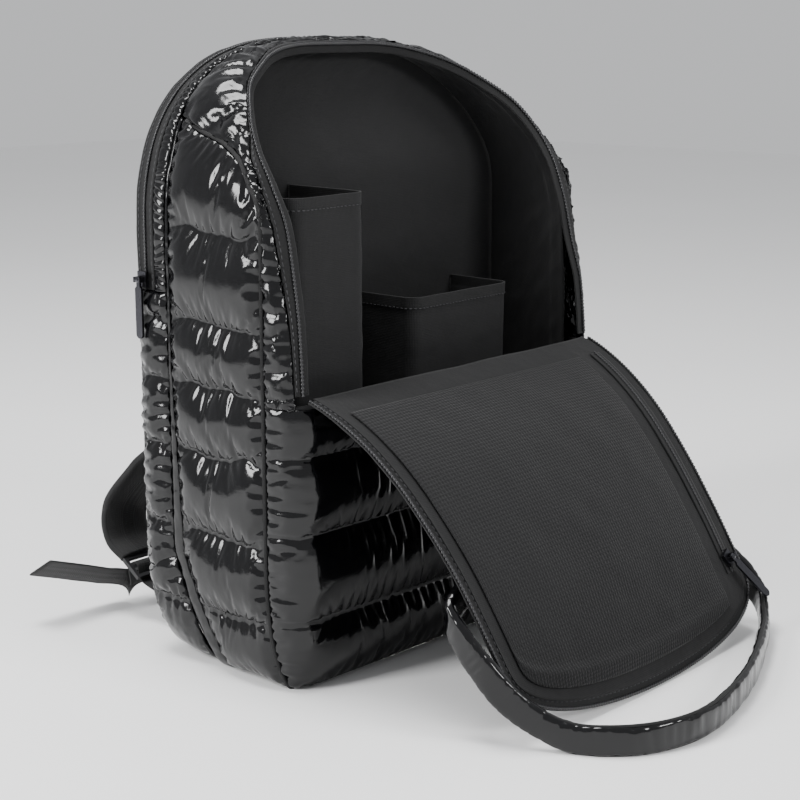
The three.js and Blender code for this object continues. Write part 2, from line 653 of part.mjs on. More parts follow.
/** Flat base inside the lower edges of the side, front and rear panels. */
function basePanel() {
  const margin = GAP * 3;
  const depths = [
    rearEdge(FLOOR) + margin,
    lerp(rearEdge(FLOOR), rearSeam(FLOOR), 0.5),
    rearSeam(FLOOR),
    ...ACROSS.map((share) => lerp(gussetSeam(FLOOR), frontSeam(FLOOR), share)),
  ];
  const side = depths.map((depth) => shellPoint(FLOOR, depth)).map((p) => [p.x + margin, p.y]);
  const [edgeX, seamY] = side[side.length - 1];
  const frontY = FRONT_Y + FRONT_TUCK + SEAM_WALL + margin;
  const flat = -edgeX - FRONT_CORNER_RADIUS;
  const corner = samples(1, 0, 5).slice(1).map((share) => {
    const angle = share * RIGHT_ANGLE;
    const x = flat + FRONT_CORNER_RADIUS * Math.sin(angle) - margin * (1 - share);
    return [-x, frontY + (seamY - frontY) * (1 - Math.cos(angle))];
  });
  const bow = samples(1, 0, 4).slice(1).map((share) => [-flat * share, frontY - FRONT_BOW * (1 - share * share)]);
  const left = [...side, ...corner, ...bow];
  const right = left.slice(0, -1).reverse().map(([x, y]) => [-x, y]);
  const shape = new THREE.Shape([...left, ...right].map(([x, y]) => new THREE.Vector2(x, y)));
  return mergedExtrude(shape, FLOOR_THICKNESS);
}

/** An extruded shape as a closed geometry with merged vertices. */
function mergedExtrude(shape, depth, options = {}) {
  const geometry = new THREE.ExtrudeGeometry(shape, { depth, bevelEnabled: false, curveSegments: 6, ...options });
  geometry.deleteAttribute("normal");
  geometry.deleteAttribute("uv");
  return mergeVertices(geometry, 1e-4);
}

const BACK_LOWEST = stationAt(FLOOR_THICKNESS + 3);

/** A point of the back between its edges (-1 to 1), standing out behind by a share of its fullness. */
function backPoint(share, station, fullness) {
  const margin = SEAM_WALL + GAP * 1.5 + SEAM_WALL * tuckShare(station);
  const edge = shellPoint(station, rearEdge(station), margin);
  const rise = channel((station - BACK_LOWEST) / (CROWN - BACK_LOWEST), 0.3);
  const y = edge.y + fullness * BACK_FULLNESS * (1 - share ** 4) * rise;
  return point(Math.abs(edge.x) * share, y, edge.z);
}

/** Where the back's outer surface is, at a place across and a height. */
function backSurface(x, height) {
  const station = stationAt(height);
  const half = backPoint(1, station, 1).x;
  return backPoint(x / half, station, 1);
}

/** Padded back: the arch of the body, inside its rear edge. */
function backPanel() {
  const stations = [
    ...samples(BACK_LOWEST, SIDE, 4),
    ...samples(SIDE, SHOULDER, 5).slice(1),
    ...samples(SHOULDER, CROWN, 7).slice(1),
  ];
  const outer = (share, station) => backPoint(share, station, 1);
  const inner = (share, station) => backPoint(share, station, 0).add(point(0, -BACK_THICKNESS, 0));
  return slab([-1, -0.85, -0.5, 0, 0.5, 0.85, 1], stations, outer, inner);
}

/** Depth of the divider between the two compartments. */
const dividerDepth = (height) =>
  lerp(DIVIDER_DEPTH, DIVIDER_CROWN_DEPTH, smoothstep(height, DIVIDER_LEAN_HEIGHT, BODY_HEIGHT));

function divider() {
  const surface = (share, station) => {
    const edge = shellPoint(station, DIVIDER_DEPTH, LINING_INSET - CLOTH);
    return point(Math.abs(edge.x) * share, REAR_Y - dividerDepth(edge.z), edge.z);
  };
  const lowest = stationAt(FLOOR_THICKNESS + 3);
  const stations = [...samples(lowest, SIDE, 2), ...samples(SIDE, SHOULDER, 3).slice(1), ...samples(SHOULDER, CROWN, 8).slice(1)];
  const outer = (share, station) => surface(share, station);
  const inner = (share, station) => surface(share, station).add(point(0, CLOTH, 0));
  return slab([-1, -0.5, 0, 0.5, 1], stations, outer, inner);
}

/** Lining of the front compartment's side and top walls, from behind the zip tape back to the divider. */
function liningHood() {
  const start = stationAt(FLOOR_THICKNESS + 3);
  const left = [
    ...samples(start, SIDE, 2),
    ...samples(SIDE, SHOULDER, 5).slice(1),
    ...samples(SHOULDER, CROWN, 10).slice(1),
    MIDDLE,
  ];
  const stations = [...left, ...left.slice(0, -1).reverse().map((station) => LAST - station)];
  const surface = (share, station) => {
    const coil = coilLine(station);
    const edge = shellPoint(station, DIVIDER_DEPTH, LINING_INSET - CLOTH);
    const rear = dividerDepth(edge.z) + GAP * 3;
    const front = Math.min(coil.depth - 4, FRONT_SEAM_DEPTH + 6);
    const inset = lerp(LINING_INSET - CLOTH - GAP * 2, Math.max(coil.inset + 1, LINING_INSET - CLOTH), share ** 3);
    return shellPoint(station, lerp(rear, front, share), inset);
  };
  return shellSlab([0, 0.7, 1], stations, surface, () => 0, () => CLOTH);
}

/** Plan of a sleeve's wall from the divider round its two front corners and back, at an inset from its outside. */
function sleevePlan({ left, right, front }, back, inset) {
  const radius = SLEEVE_CORNER - inset;
  const corners = [
    { x: left + SLEEVE_CORNER, from: Math.PI },
    { x: right - SLEEVE_CORNER, from: Math.PI * 1.5 },
  ];
  const arcs = corners.flatMap(({ x, from }) =>
    samples(from, from + RIGHT_ANGLE, 3).map((angle) => [
      x + radius * Math.cos(angle),
      front + SLEEVE_CORNER + radius * Math.sin(angle),
    ]),
  );
  return [[left + inset, back], ...arcs, [right - inset, back]];
}

/** Bottle sleeve: a wall round three sides, open at the top and closed at the back by the divider. */
function sleeve(row) {
  const innerHalf = HALF_WIDTH - LINING_INSET;
  const back = REAR_Y - DIVIDER_DEPTH - GAP;
  const sides = {
    left: row.left * innerHalf,
    right: row.right * innerHalf,
    front: lerp(back, FRONT_Y + SEAM_WALL, row.forward),
  };
  const outerLine = sleevePlan(sides, back, 0);
  const innerLine = sleevePlan(sides, back, SLEEVE_WALL);
  const top = row.top * BODY_HEIGHT;
  const place = (line) => (column, height) => point(line[column][0], line[column][1], height);
  const columns = outerLine.map((_, column) => column);
  return slab(columns, [FLOOR_THICKNESS + GAP, top], place(outerLine), place(innerLine));
}

/** The flap's slope in degrees below level at a length along it, for a slope of its straight tail. */
function flapSlope(length, tailAngle) {
  const share = clamp(1 - length / FLAP_BEND_LENGTH, 0, 1.2);
  return tailAngle - (tailAngle - FLAP_ROOT_ANGLE) * share ** 1.5;
}

/** How far the flap has run forwards and down at a length along it. */
function flapRun(length, tailAngle) {
  const steps = 24;
  const run = { forward: 0, down: 0 };
  for (const middle of samples(0.5 / steps, 1 - 0.5 / steps, steps - 1)) {
    const angle = degToRad(flapSlope(length * middle, tailAngle));
    run.forward += (Math.cos(angle) * length) / steps;
    run.down += (Math.sin(angle) * length) / steps;
  }
  return run;
}

/** Slope of the flap's tail at which its tip just rests on the floor, found by halving. */
function restingTailAngle() {
  let [low, high] = [FLAP_ROOT_ANGLE, 90];
  for (let i = 0; i < 30; i++) {
    const middle = (low + high) / 2;
    if (flapRun(FLAP_LENGTH, middle).down < HINGE_HEIGHT - FLAP_TIP_HEIGHT) low = middle;
    else high = middle;
  }
  return low;
}

const FLAP_TAIL_ANGLE = restingTailAngle();

/** A point of the flap's middle surface: share across its half width, length along it, offset to its lining side. */
function flapPoint(share, length, offset, inset = 0) {
  const run = flapRun(length, FLAP_TAIL_ANGLE);
  const [y, z] = [FRONT_Y - GAP * 2 - run.forward, HINGE_HEIGHT - run.down];
  const angle = degToRad(flapSlope(length, FLAP_TAIL_ANGLE));
  const narrowing = clamp(1 - length / FLAP_NARROWING_LENGTH, 0, 1);
  const half = FLAP_HALF_WIDTH + FLAP_NARROWING * narrowing ** 1.3;
  const swayShare = clamp((length - FLAP_SWAY_START) / (FLAP_LENGTH - FLAP_SWAY_START), 0, 1.1);
  const x = FLAP_SWAY * swayShare ** 1.5 + share * (half - inset);
  return point(x, y - offset * Math.sin(angle), Math.max(0, z + offset * Math.cos(angle)));
}

/** Length at which the flap ends, at a share across, for an outline inset on all sides. */
function flapEnd(share, inset) {
  const straight = FLAP_LENGTH - FLAP_CORNER_LENGTH;
  return straight + (FLAP_CORNER_LENGTH - inset) * Math.max(0, 1 - share * share) ** 0.357;
}

/** Values across the flap, closer together near its edges. */
const flapAcross = (steps) => samples(0, Math.PI, steps).map((angle) => -Math.cos(angle));

/** One layer of the flap between two offsets, given as functions of the share across and the length along. */
function flapLayer({ across, rows, start, inset, upper, lower }) {
  const place = (offset) => (share, row) =>
    flapPoint(share, lerp(start, flapEnd(share, inset), row), offset(share, row), inset);
  return slab(across, rows, place(upper), place(lower));
}

// Both layers of the flap share their rows, three to a channel, and their columns.
const FLAP_LAYERS = {
  across: flapAcross(8),
  rows: samples(0, 1, FLAP_CHANNELS * 3),
  start: 0.5,
  inset: FLAP_TAPE_WIDTH + GAP * 3,
};

/** Puffed outer side of the flap, in channels across it. */
function flapPuffer() {
  const puff = (share, row) => PUFF * channel((row * FLAP_CHANNELS) % 1) * (1 - Math.abs(share) ** 6);
  return flapLayer({
    ...FLAP_LAYERS,
    upper: () => -GAP / 2,
    lower: (share, row) => -GAP / 2 - SEAM_WALL - puff(share, row),
  });
}

function flapLining() {
  return flapLayer({ ...FLAP_LAYERS, upper: () => GAP / 2 + CLOTH, lower: () => GAP / 2 });
}

// How far the pocket's zip and net lie over the flap's middle surface.
const POCKET_ZIP_BASE = GAP * 1.5 + CLOTH;

/** Mesh pocket on the lining: it lies loose over most of the flap, up to its own zip on the right. */
function meshPocket() {
  const base = POCKET_ZIP_BASE;
  const zipShare = 1 - (2 * (POCKET_ZIP_FROM_EDGE + POCKET_ZIP_WIDTH)) / (FLAP_HALF_WIDTH * 2);
  const across = flapAcross(8).map((share) => lerp(-1, zipShare, (share + 1) / 2));
  const fullness = (share, row) => {
    const side = (share + 1) / (zipShare + 1);
    return POCKET_FULLNESS * channel(side, 0.5) * channel(row, 0.4);
  };
  return flapLayer({
    across,
    rows: samples(0, 1, 10),
    start: POCKET_ZIP_START,
    inset: POCKET_MARGIN,
    upper: (share, row) => base + CLOTH * 0.8 + fullness(share, row),
    lower: (share, row) => base + fullness(share, row) * 0.8,
  });
}

/** A point on the flap's edge band: perimeter share from the left root round the tip to the right root. */
function flapEdgePoint(perimeter, inset, offset) {
  const straight = FLAP_LENGTH - FLAP_CORNER_LENGTH;
  const third = perimeter * 3;
  if (third < 1) return flapPoint(-1, straight * third, offset, inset);
  if (third > 2) return flapPoint(1, straight * (3 - third), offset, inset);
  const angle = (third - 1) * Math.PI;
  const length = straight + (FLAP_CORNER_LENGTH - inset) * Math.max(0, Math.sin(angle)) ** 0.714;
  return flapPoint(-Math.cos(angle), length, offset, inset);
}

/** Zip tape along the flap's edge, its coil on the outer edge. */
function flapTape() {
  const start = 0.004;
  const left = samples(start, 1 / 3, 8);
  const perimeters = [...left, ...samples(1 / 3, 2 / 3, 16).slice(1, -1), ...left.map((share) => 1 - share).reverse()];
  const across = [0, 0.3, 1];
  const ridge = (share) => (share <= 0.25 ? COIL_HEIGHT : TAPE_THICKNESS / 2);
  const outer = (share, perimeter) => flapEdgePoint(perimeter, FLAP_TAPE_WIDTH * share, ridge(share));
  const inner = (share, perimeter) => flapEdgePoint(perimeter, FLAP_TAPE_WIDTH * share, -TAPE_THICKNESS / 2);
  return slab(across, perimeters, outer, inner);
}

/** A point on the pocket's zip: mm to the right of its middle, length along the flap, offset to its lining side. */
function pocketZipPoint(right, length, offset) {
  const middle = FLAP_HALF_WIDTH - POCKET_ZIP_FROM_EDGE - POCKET_ZIP_WIDTH / 2;
  return flapPoint((middle + right) / FLAP_HALF_WIDTH, length, offset);
}

/** Zip of the mesh pocket: tape, coil, tape along the flap's right edge. */
function pocketZip() {
  const half = POCKET_ZIP_WIDTH / 2 - GAP;
  const ridge = (right) => POCKET_ZIP_BASE + (Math.abs(right) < half ? COIL_HEIGHT : TAPE_THICKNESS);
  const outer = (right, length) => pocketZipPoint(right, length, ridge(right));
  const inner = (right, length) => pocketZipPoint(right, length, POCKET_ZIP_BASE);
  return slab([-half, -COIL_HEIGHT, COIL_HEIGHT, half], samples(POCKET_ZIP_START, POCKET_ZIP_END, 12), outer, inner);
}

/**
 * Flat band along a curve through points, its width along a given direction, tapering if its widths differ. Its
 * section is a rectangle at squareness 0 and has rounder edges at more.
 */
function band({ points, widthDirection, width, endWidth = width, thickness, stepsEach = 2, sides = 8, roundness = 0.4 }) {
  const curve = new THREE.CatmullRomCurve3(points, false, "centripetal");
  const rounded = (value) => Math.sign(value) * Math.abs(value) ** roundness;
  const ring = (share, angleShare) => {
    const tangent = curve.getTangent(share);
    const direction = widthDirection(share);
    const wide = direction.clone().addScaledVector(tangent, -tangent.dot(direction)).normalize();
    const thin = tangent.clone().cross(wide).normalize();
    const angle = angleShare * Math.PI * 2;
    const wideSize = (lerp(width, endWidth, share) / 2) * rounded(Math.cos(angle));
    const thinSize = (thickness / 2) * rounded(Math.sin(angle));
    const p = curve.getPoint(share).addScaledVector(wide, wideSize).addScaledVector(thin, thinSize);
    return p.setZ(Math.max(0, p.z));
  };
  return tube((points.length - 1) * stepsEach, sides, ring);
}

/** Closed tube of rings: ring(share along, share round) gives its points. */
function tube(steps, sides, ring) {
  const positions = [];
  for (let i = 0; i <= steps; i++)
    for (let j = 0; j < sides; j++) positions.push(...ring(i / steps, (j + 0.5) / sides).toArray());
  const indices = [];
  const at = (i, j) => i * sides + (j % sides);
  for (let i = 0; i < steps; i++)
    for (let j = 0; j < sides; j++)
      indices.push(at(i, j), at(i, j + 1), at(i + 1, j + 1), at(i, j), at(i + 1, j + 1), at(i + 1, j));
  for (let j = 1; j < sides - 1; j++) {
    indices.push(at(0, 0), at(0, j + 1), at(0, j));
    indices.push(at(steps, 0), at(steps, j), at(steps, j + 1));
  }
  return facingOut(closedGeometry(positions, indices));
}

/** Carry handle: a padded band on edge, sewn to the flap's outer side at both ends. */
function carryHandle() {
  const lift = PUFF + SEAM_WALL + HANDLE_THICKNESS * 0.45;
  const across = 1 - HANDLE_FROM_EDGE / FLAP_HALF_WIDTH;
  const seats = [-across, across].map((share) => flapPoint(share, HANDLE_SEAT, -lift));
  const seatY = seats[0].y;
  const seatZ = seats[0].z;
  const route = HANDLE_ROUTE.map((row) =>
    point(
      row.right * FLAP_HALF_WIDTH,
      seatY - row.forward * HANDLE_REACH,
      Math.max(row.height * seatZ, HANDLE_WIDTH / 2),
    ),
  );
  return band({
    points: [seats[0], ...route, seats[1]],
    widthDirection: () => point(0, 0, 1),
    width: HANDLE_WIDTH,
    thickness: HANDLE_THICKNESS,
  });
}

/** A row of shares behind the body as a point; side is -1 for the left and 1 for the right. */
const behindBody = (row, side) =>
  point(side * row.left * BODY_WIDTH, REAR_Y + row.behind * BODY_DEPTH, row.height * BODY_HEIGHT);

/** Padded shoulder strap from the top of the back to its buckle. */
function shoulderStrap(side) {
  return band({
    points: STRAP_ROUTE.map((row) => behindBody(row, side)),
    widthDirection: () => point(1, 0, 0),
    width: STRAP_WIDTH,
    endWidth: STRAP_END_WIDTH,
    thickness: STRAP_THICKNESS,
  });
}

const BUCKLE_LENGTH = BUCKLE_RIM * 2 + BUCKLE_SLOT * 2 + BUCKLE_BAR;

/** Where a strap's buckle is: its middle, the way along it up to the strap, and the way out of its upper face. */
function buckleFrame(side) {
  const [before, end] = STRAP_ROUTE.slice(-2).map((row) => behindBody(row, side));
  const along = before.sub(end).setX(0).normalize();
  const middle = end.addScaledVector(along, -(BUCKLE_LENGTH / 2 + GAP));
  return { middle, along, out: point(1, 0, 0).cross(along) };
}

/** Ladder buckle: a plate with two slots and a bar between them, lying in its own XY plane. */
function buckle() {
  const rectangle = (path, left, bottom, right, top) =>
    path.moveTo(left, bottom).lineTo(right, bottom).lineTo(right, top).lineTo(left, top).closePath();
  const [halfWidth, halfLength] = [BUCKLE_WIDTH / 2, BUCKLE_LENGTH / 2];
  const slotHalf = halfWidth - BUCKLE_RIM;
  const shape = rectangle(new THREE.Shape(), -halfWidth, -halfLength, halfWidth, halfLength);
  for (const bottom of [-BUCKLE_BAR / 2 - BUCKLE_SLOT, BUCKLE_BAR / 2])
    shape.holes.push(rectangle(new THREE.Path(), -slotHalf, bottom, slotHalf, bottom + BUCKLE_SLOT));
  return mergedExtrude(shape, BUCKLE_THICKNESS).translate(0, 0, -BUCKLE_THICKNESS / 2);
}

/** Webbing from the lower back up through the buckle, over its bar, down again and out to its loose end. */
function strapWebbing(side) {
  const { middle, along, out } = buckleFrame(side);
  const around = BUCKLE_THICKNESS / 2 + WEBBING_THICKNESS / 2 + GAP * 3;
  const at = (length, height) => middle.clone().addScaledVector(along, length).addScaledVector(out, height);
  const slotMiddle = (BUCKLE_BAR + BUCKLE_SLOT) / 2;
  const rimMiddle = (BUCKLE_LENGTH - BUCKLE_RIM) / 2;
  const anchorHeight = ANCHOR_HEIGHT * BODY_HEIGHT;
  const back = backSurface(Math.abs(middle.x), anchorHeight).y;
  const points = [
    point(middle.x, back + GAP, anchorHeight),
    point(middle.x, lerp(back, middle.y, 0.4), anchorHeight * 0.92),
    at(-rimMiddle, -around - GAP),
    at(-slotMiddle, 0),
    at(0, around),
    at(slotMiddle, 0),
    at(slotMiddle, -around * 1.6),
    ...TAIL_ROUTE.map((row) => behindBody(row, side)),
  ];
  const twistStart = 0.62;
  return band({
    points,
    widthDirection: (share) => point(1, 0, 0).lerp(point(side * 0.2, 0.2, 1), smoothstep(share, twistStart, 0.8)),
    width: WEBBING_WIDTH,
    thickness: WEBBING_THICKNESS,
    stepsEach: 3,
    sides: 4,
    roundness: 0,
  });
}

/** Solid of a geometry for adding and subtracting. */
function solidOf(geometry) {
  const merged = mergeVertices(geometry.clone().deleteAttribute("normal").deleteAttribute("uv"), 1e-4);
  const triVerts = new Uint32Array(merged.index.array);
  return new wasm.Manifold(new wasm.Mesh({ numProp: 3, vertProperties: merged.attributes.position.array, triVerts }));
}

/** Geometry of a solid. */
function geometryOf(solid) {
  const mesh = solid.getMesh();
  return closedGeometry(Array.from(mesh.vertProperties), Array.from(mesh.triVerts));
}

const joined = (geometries) => geometryOf(geometries.map(solidOf).reduce((all, one) => all.add(one)));

/** Zip slider in its own frame: X along the zip, Z out of the tape, with two ears that hold the puller's pin. */
function slider() {
  const body = new THREE.BoxGeometry(SLIDER_LENGTH, SLIDER_WIDTH, SLIDER_HEIGHT);
  body.translate(0, 0, SLIDER_TOP - SLIDER_HEIGHT / 2);
  const earReach = EYE_WIDTH / 2 + EYE_CLEARANCE + EAR_THICKNESS / 2;
  const earHeight = PIN_HEIGHT + PIN_RADIUS + EAR_THICKNESS - SLIDER_TOP + SLIDER_HEIGHT / 2;
  const ears = [-earReach, earReach].map((y) => {
    const ear = new THREE.BoxGeometry(EYE_RADIUS * 1.6, EAR_THICKNESS, earHeight);
    return ear.translate(0, y, SLIDER_TOP - SLIDER_HEIGHT / 2 + earHeight / 2);
  });
  const pin = new THREE.CylinderGeometry(PIN_RADIUS, PIN_RADIUS, earReach * 2, 12);
  return joined([body, ...ears, pin.translate(0, 0, PIN_HEIGHT)]);
}

/** Puller with the pin's axis as its Y axis: an eye round the pin, a neck between the ears and a blade along -X. */
function puller() {
  const eye = new THREE.CylinderGeometry(EYE_RADIUS, EYE_RADIUS, EYE_WIDTH, 16);
  const hole = new THREE.CylinderGeometry(PIN_RADIUS + EYE_CLEARANCE, PIN_RADIUS + EYE_CLEARANCE, EYE_WIDTH * 2, 16);
  const shoulder = EYE_RADIUS * 2;
  const outlineOf = new THREE.Shape();
  outlineOf.moveTo(-EYE_RADIUS * 0.8, -EYE_WIDTH / 2);
  outlineOf.lineTo(-EYE_RADIUS * 0.8, EYE_WIDTH / 2);
  outlineOf.lineTo(-shoulder, EYE_WIDTH / 2);
  outlineOf.lineTo(-shoulder - EYE_WIDTH / 2, PULLER_WIDTH / 2);
  outlineOf.lineTo(-PULLER_LENGTH + PULLER_WIDTH / 2, PULLER_WIDTH / 2);
  outlineOf.absarc(-PULLER_LENGTH + PULLER_WIDTH / 2, 0, PULLER_WIDTH / 2, RIGHT_ANGLE, RIGHT_ANGLE * 3, false);
  outlineOf.lineTo(-shoulder - EYE_WIDTH / 2, -PULLER_WIDTH / 2);
  outlineOf.lineTo(-shoulder, -EYE_WIDTH / 2);
  const blade = mergedExtrude(outlineOf, PULLER_THICKNESS).translate(0, 0, -PULLER_THICKNESS / 2);
  const whole = solidOf(eye).subtract(solidOf(hole)).add(solidOf(blade).subtract(solidOf(hole)));
  return geometryOf(whole);
}

/** Adds a slider and its puller, turned by a lift in degrees, to a frame on a zip. */
function addPull(name, frame, lift = 0) {
  add(`${name}_slider`, slider(), COLOURS.metal, frame);
  const hinged = add(`${name}_puller`, puller(), COLOURS.metal, frame);
  hinged.position.z = PIN_HEIGHT;
  hinged.rotation.y = degToRad(lift);
}

const groups = new THREE.Group();
groups.name = "puffer_backpack";

/** Adds a named mesh to the part. */
function add(name, geometry, colours, parent = groups) {
  const mesh = new THREE.Mesh(geometry, new THREE.MeshStandardMaterial(colours));
  mesh.name = name;
  parent.add(mesh);
  return mesh;
}

/** A group whose X and Z axes point along two given directions at right angles. */
function frameAt(name, position, xAxis, zAxis) {
  const frame = new THREE.Group();
  frame.name = name;
  frame.position.copy(position);
  frame.setRotationFromMatrix(new THREE.Matrix4().makeBasis(xAxis, zAxis.clone().cross(xAxis), zAxis));
  groups.add(frame);
  return frame;
}

["left", "right"].forEach((name, side) => {
  add(`side_panel_${name}`, sidePanel(side), COLOURS.gloss);
  add(`rear_strip_${name}`, rearStrip(side), COLOURS.gloss);
  add(`seam_gusset_${name}`, sideGusset(side), COLOURS.tape);
  const hand = side ? 1 : -1;
  add(`shoulder_strap_${name}`, shoulderStrap(hand), COLOURS.lining);
  add(`strap_webbing_${name}`, strapWebbing(hand), COLOURS.webbing);
  const { middle, out } = buckleFrame(hand);
  add(`strap_buckle_${name}`, buckle(), COLOURS.plastic, frameAt(`buckle_${name}`, middle, point(1, 0, 0), out));
});
add("ruched_strip", ruchedStrip(), COLOURS.gloss);
add("main_zip", mainZip(), COLOURS.tape);
add("front_border", frontBorder(), COLOURS.gloss);
add("opening_zip_tape", openingTape(), COLOURS.tape);
add("front_panel", frontPanel(), COLOURS.gloss);
add("base_panel", basePanel(), COLOURS.gloss);
add("back_panel", backPanel(), COLOURS.lining);
add("divider", divider(), COLOURS.lining);
add("lining_hood", liningHood(), COLOURS.lining);
add("flap_puffer", flapPuffer(), COLOURS.gloss);
add("flap_lining", flapLining(), COLOURS.lining);
add("flap_zip_tape", flapTape(), COLOURS.tape);
add("mesh_pocket", meshPocket(), COLOURS.mesh);
add("mesh_pocket_zip", pocketZip(), COLOURS.tape);
add("carry_handle", carryHandle(), COLOURS.gloss);
for (const row of SLEEVES) add(row.name, sleeve(row), COLOURS.lining);

const mainZipEnd = stationAt(MAIN_ZIP_END_HEIGHT + SLIDER_LENGTH * 0.7);
const mainZipDepth = (rearEdge(mainZipEnd) + zipSeam(mainZipEnd)) / 2;
const mainPull = frameAt("main_zip_pull", shellPoint(mainZipEnd, mainZipDepth), point(0, 0, 1), point(-1, 0, 0));
addPull("main_zip", mainPull);

const flapSlopeAtEnd = degToRad(flapSlope(POCKET_ZIP_END, FLAP_TAIL_ANGLE));
const flapUp = point(0, Math.cos(flapSlopeAtEnd), Math.sin(flapSlopeAtEnd));
const flapOut = point(0, -Math.sin(flapSlopeAtEnd), Math.cos(flapSlopeAtEnd));
const pocketPull = frameAt(
  "pocket_zip_pull",
  pocketZipPoint(0, POCKET_ZIP_END - SLIDER_LENGTH, POCKET_ZIP_BASE),
  flapUp.clone().applyAxisAngle(flapOut, degToRad(POCKET_SLIDER_TURN)),
  flapOut,
);
addPull("pocket_zip", pocketPull, POCKET_PULLER_LIFT);

export default groups;
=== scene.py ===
"""Looks of a quilted puffer backpack that stands with its front compartment open.

The flap of the compartment is unzipped and folded down, with its carry handle on the floor in front.
All shapes are worked out by the same formulas as the part's solids. Lengths are in millimetres, except
where metres are named.
"""
import logging
import math
from dataclasses import dataclass, field
from enum import Enum
from typing import Sequence

import bpy
import numpy as np
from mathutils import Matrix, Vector


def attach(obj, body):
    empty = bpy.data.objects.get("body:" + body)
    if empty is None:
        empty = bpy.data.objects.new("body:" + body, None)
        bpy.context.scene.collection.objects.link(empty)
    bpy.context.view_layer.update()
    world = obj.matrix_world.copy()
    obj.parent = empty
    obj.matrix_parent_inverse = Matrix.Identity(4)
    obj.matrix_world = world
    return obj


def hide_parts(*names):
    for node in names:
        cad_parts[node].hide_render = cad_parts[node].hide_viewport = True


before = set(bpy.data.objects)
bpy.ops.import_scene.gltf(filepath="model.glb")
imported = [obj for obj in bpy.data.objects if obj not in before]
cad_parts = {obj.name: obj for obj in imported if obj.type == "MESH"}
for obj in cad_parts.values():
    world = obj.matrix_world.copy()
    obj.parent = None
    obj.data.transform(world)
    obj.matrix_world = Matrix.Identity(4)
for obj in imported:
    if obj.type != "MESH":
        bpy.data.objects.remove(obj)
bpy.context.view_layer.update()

LOG = logging.getLogger("backpack")
# A millimetre in metres, the unit of Blender's scene.
METRES = 0.001
RIGHT_ANGLE = math.pi / 2
BAG = "bag"
SIDES = ("left", "right")

# The quilted panels end this far above the floor in millimetres: their sewn-in edges stay clear of it.
FLOOR_GAP = 1.0
# Trim, tapes and the handle stay this far above it.
FLOOR_SKIN = 0.05
# Thickness of the sewing thread. The real one is about 0.3 mm, too fine to show in the render.
THREAD = 0.7
# Blender's wave texture repeats once in this much of its own unit.
WAVE_UNIT = 0.31

Grid = np.ndarray
Piece = bpy.types.Object
Material = bpy.types.Material
Tree = bpy.types.NodeTree
Node = bpy.types.Node
Socket = bpy.types.NodeSocket
UPWARDS = np.array([0.0, 0.0, 1.0])
SIDEWAYS = np.array([1.0, 0.0, 0.0])

# Stations run along the front outline of the body: floor on the left, over the top, floor on the right.
FLOOR, SIDE, SHOULDER, CROWN, MIDDLE, LAST = 0.0, 1.0, 2.0, 3.0, 4.0, 8.0


@dataclass(frozen=True)
class BodySizes:
    """Sizes of the bag's body in millimetres, as in the part's solids."""

    half_width: float = 154.0
    width: float = 318.0
    height: float = 401.0
    depth: float = 138.0
    shoulder: float = 281.0
    shell_top: float = 398.0
    crown_half: float = 20.0
    squareness: float = 2.4
    corner_height: float = 45.0
    corner_reach: float = 13.0
    corner_rear_reach: float = 34.0
    front_corner: float = 20.0
    front_bow: float = 3.0
    front_tuck: float = 7.0
    rear_tuck: float = 15.0
    tuck_height: float = 75.0
    rear_seam: float = 27.0
    crown_seam: float = 21.0
    seam_sweep: float = 32.0
    front_seam: float = 113.0
    front_sweep: float = 10.0
    gusset: float = 3.0
    gusset_widening: float = 11.0
    gusset_height: float = 190.0
    main_zip: float = 16.0
    main_zip_end: float = 243.0
    hinge: float = 187.0
    tape_outside: float = 9.0
    tape_inside: float = 6.0
    seam_wall: float = 2.0
    cloth: float = 1.2
    gap: float = 0.3
    floor_wall: float = 4.0
    back_wall: float = 6.0
    back_fullness: float = 4.0
    divider: float = 47.0
    divider_crown: float = 17.0
    divider_lean: float = 300.0
    lining_inset: float = 8.0
    side_quilts: tuple[float, ...] = (0.105, 0.23, 0.36, 0.4675, 0.565, 0.7075)
    front_quilts: tuple[float, ...] = (0.115, 0.2525, 0.375)
    border_quilts: tuple[float, ...] = (0.4675, 0.565, 0.7075, 0.82)


B = BodySizes()
REAR_Y = B.depth / 2
FRONT_Y = -B.depth / 2

# The side panel's upper edge: shares of the body's depth from the rear, and of its height.
TOP_EDGE_DEPTH = np.array([0.19, 0.348, 0.514, 0.652, 0.725, 0.794, 0.82])
TOP_EDGE_HEIGHT = np.array([0.876, 0.858, 0.843, 0.818, 0.788, 0.758, 0.73])

# The zip coil round the opening: shares of the height, of the depth from the rear, and of the width inwards.
COIL_HEIGHT = np.array([0.44, 0.565, 0.645, 0.723, 0.79, 0.843, 0.895, 0.935, 0.963, 0.983, 0.993])
COIL_DEPTH = np.array([0.993, 0.964, 0.913, 0.862, 0.783, 0.681, 0.562, 0.44, 0.362, 0.275, 0.232])
COIL_INSET = np.array([0.031, 0.035, 0.044, 0.047, 0.034, 0.018, 0.01, 0.01, 0.011, 0.01, 0.009])


def lerp(low: Grid, high: Grid, share: Grid) -> Grid:
    """Straight blend: low plus share times the difference."""
    return low + (high - low) * share


def smoothstep(value: Grid, low: float, high: float) -> Grid:
    """Smooth step: 3t squared minus 2t cubed of the clipped share between low and high."""
    t = np.clip((value - low) / (high - low), 0, 1)
    return t * t * (3 - 2 * t)


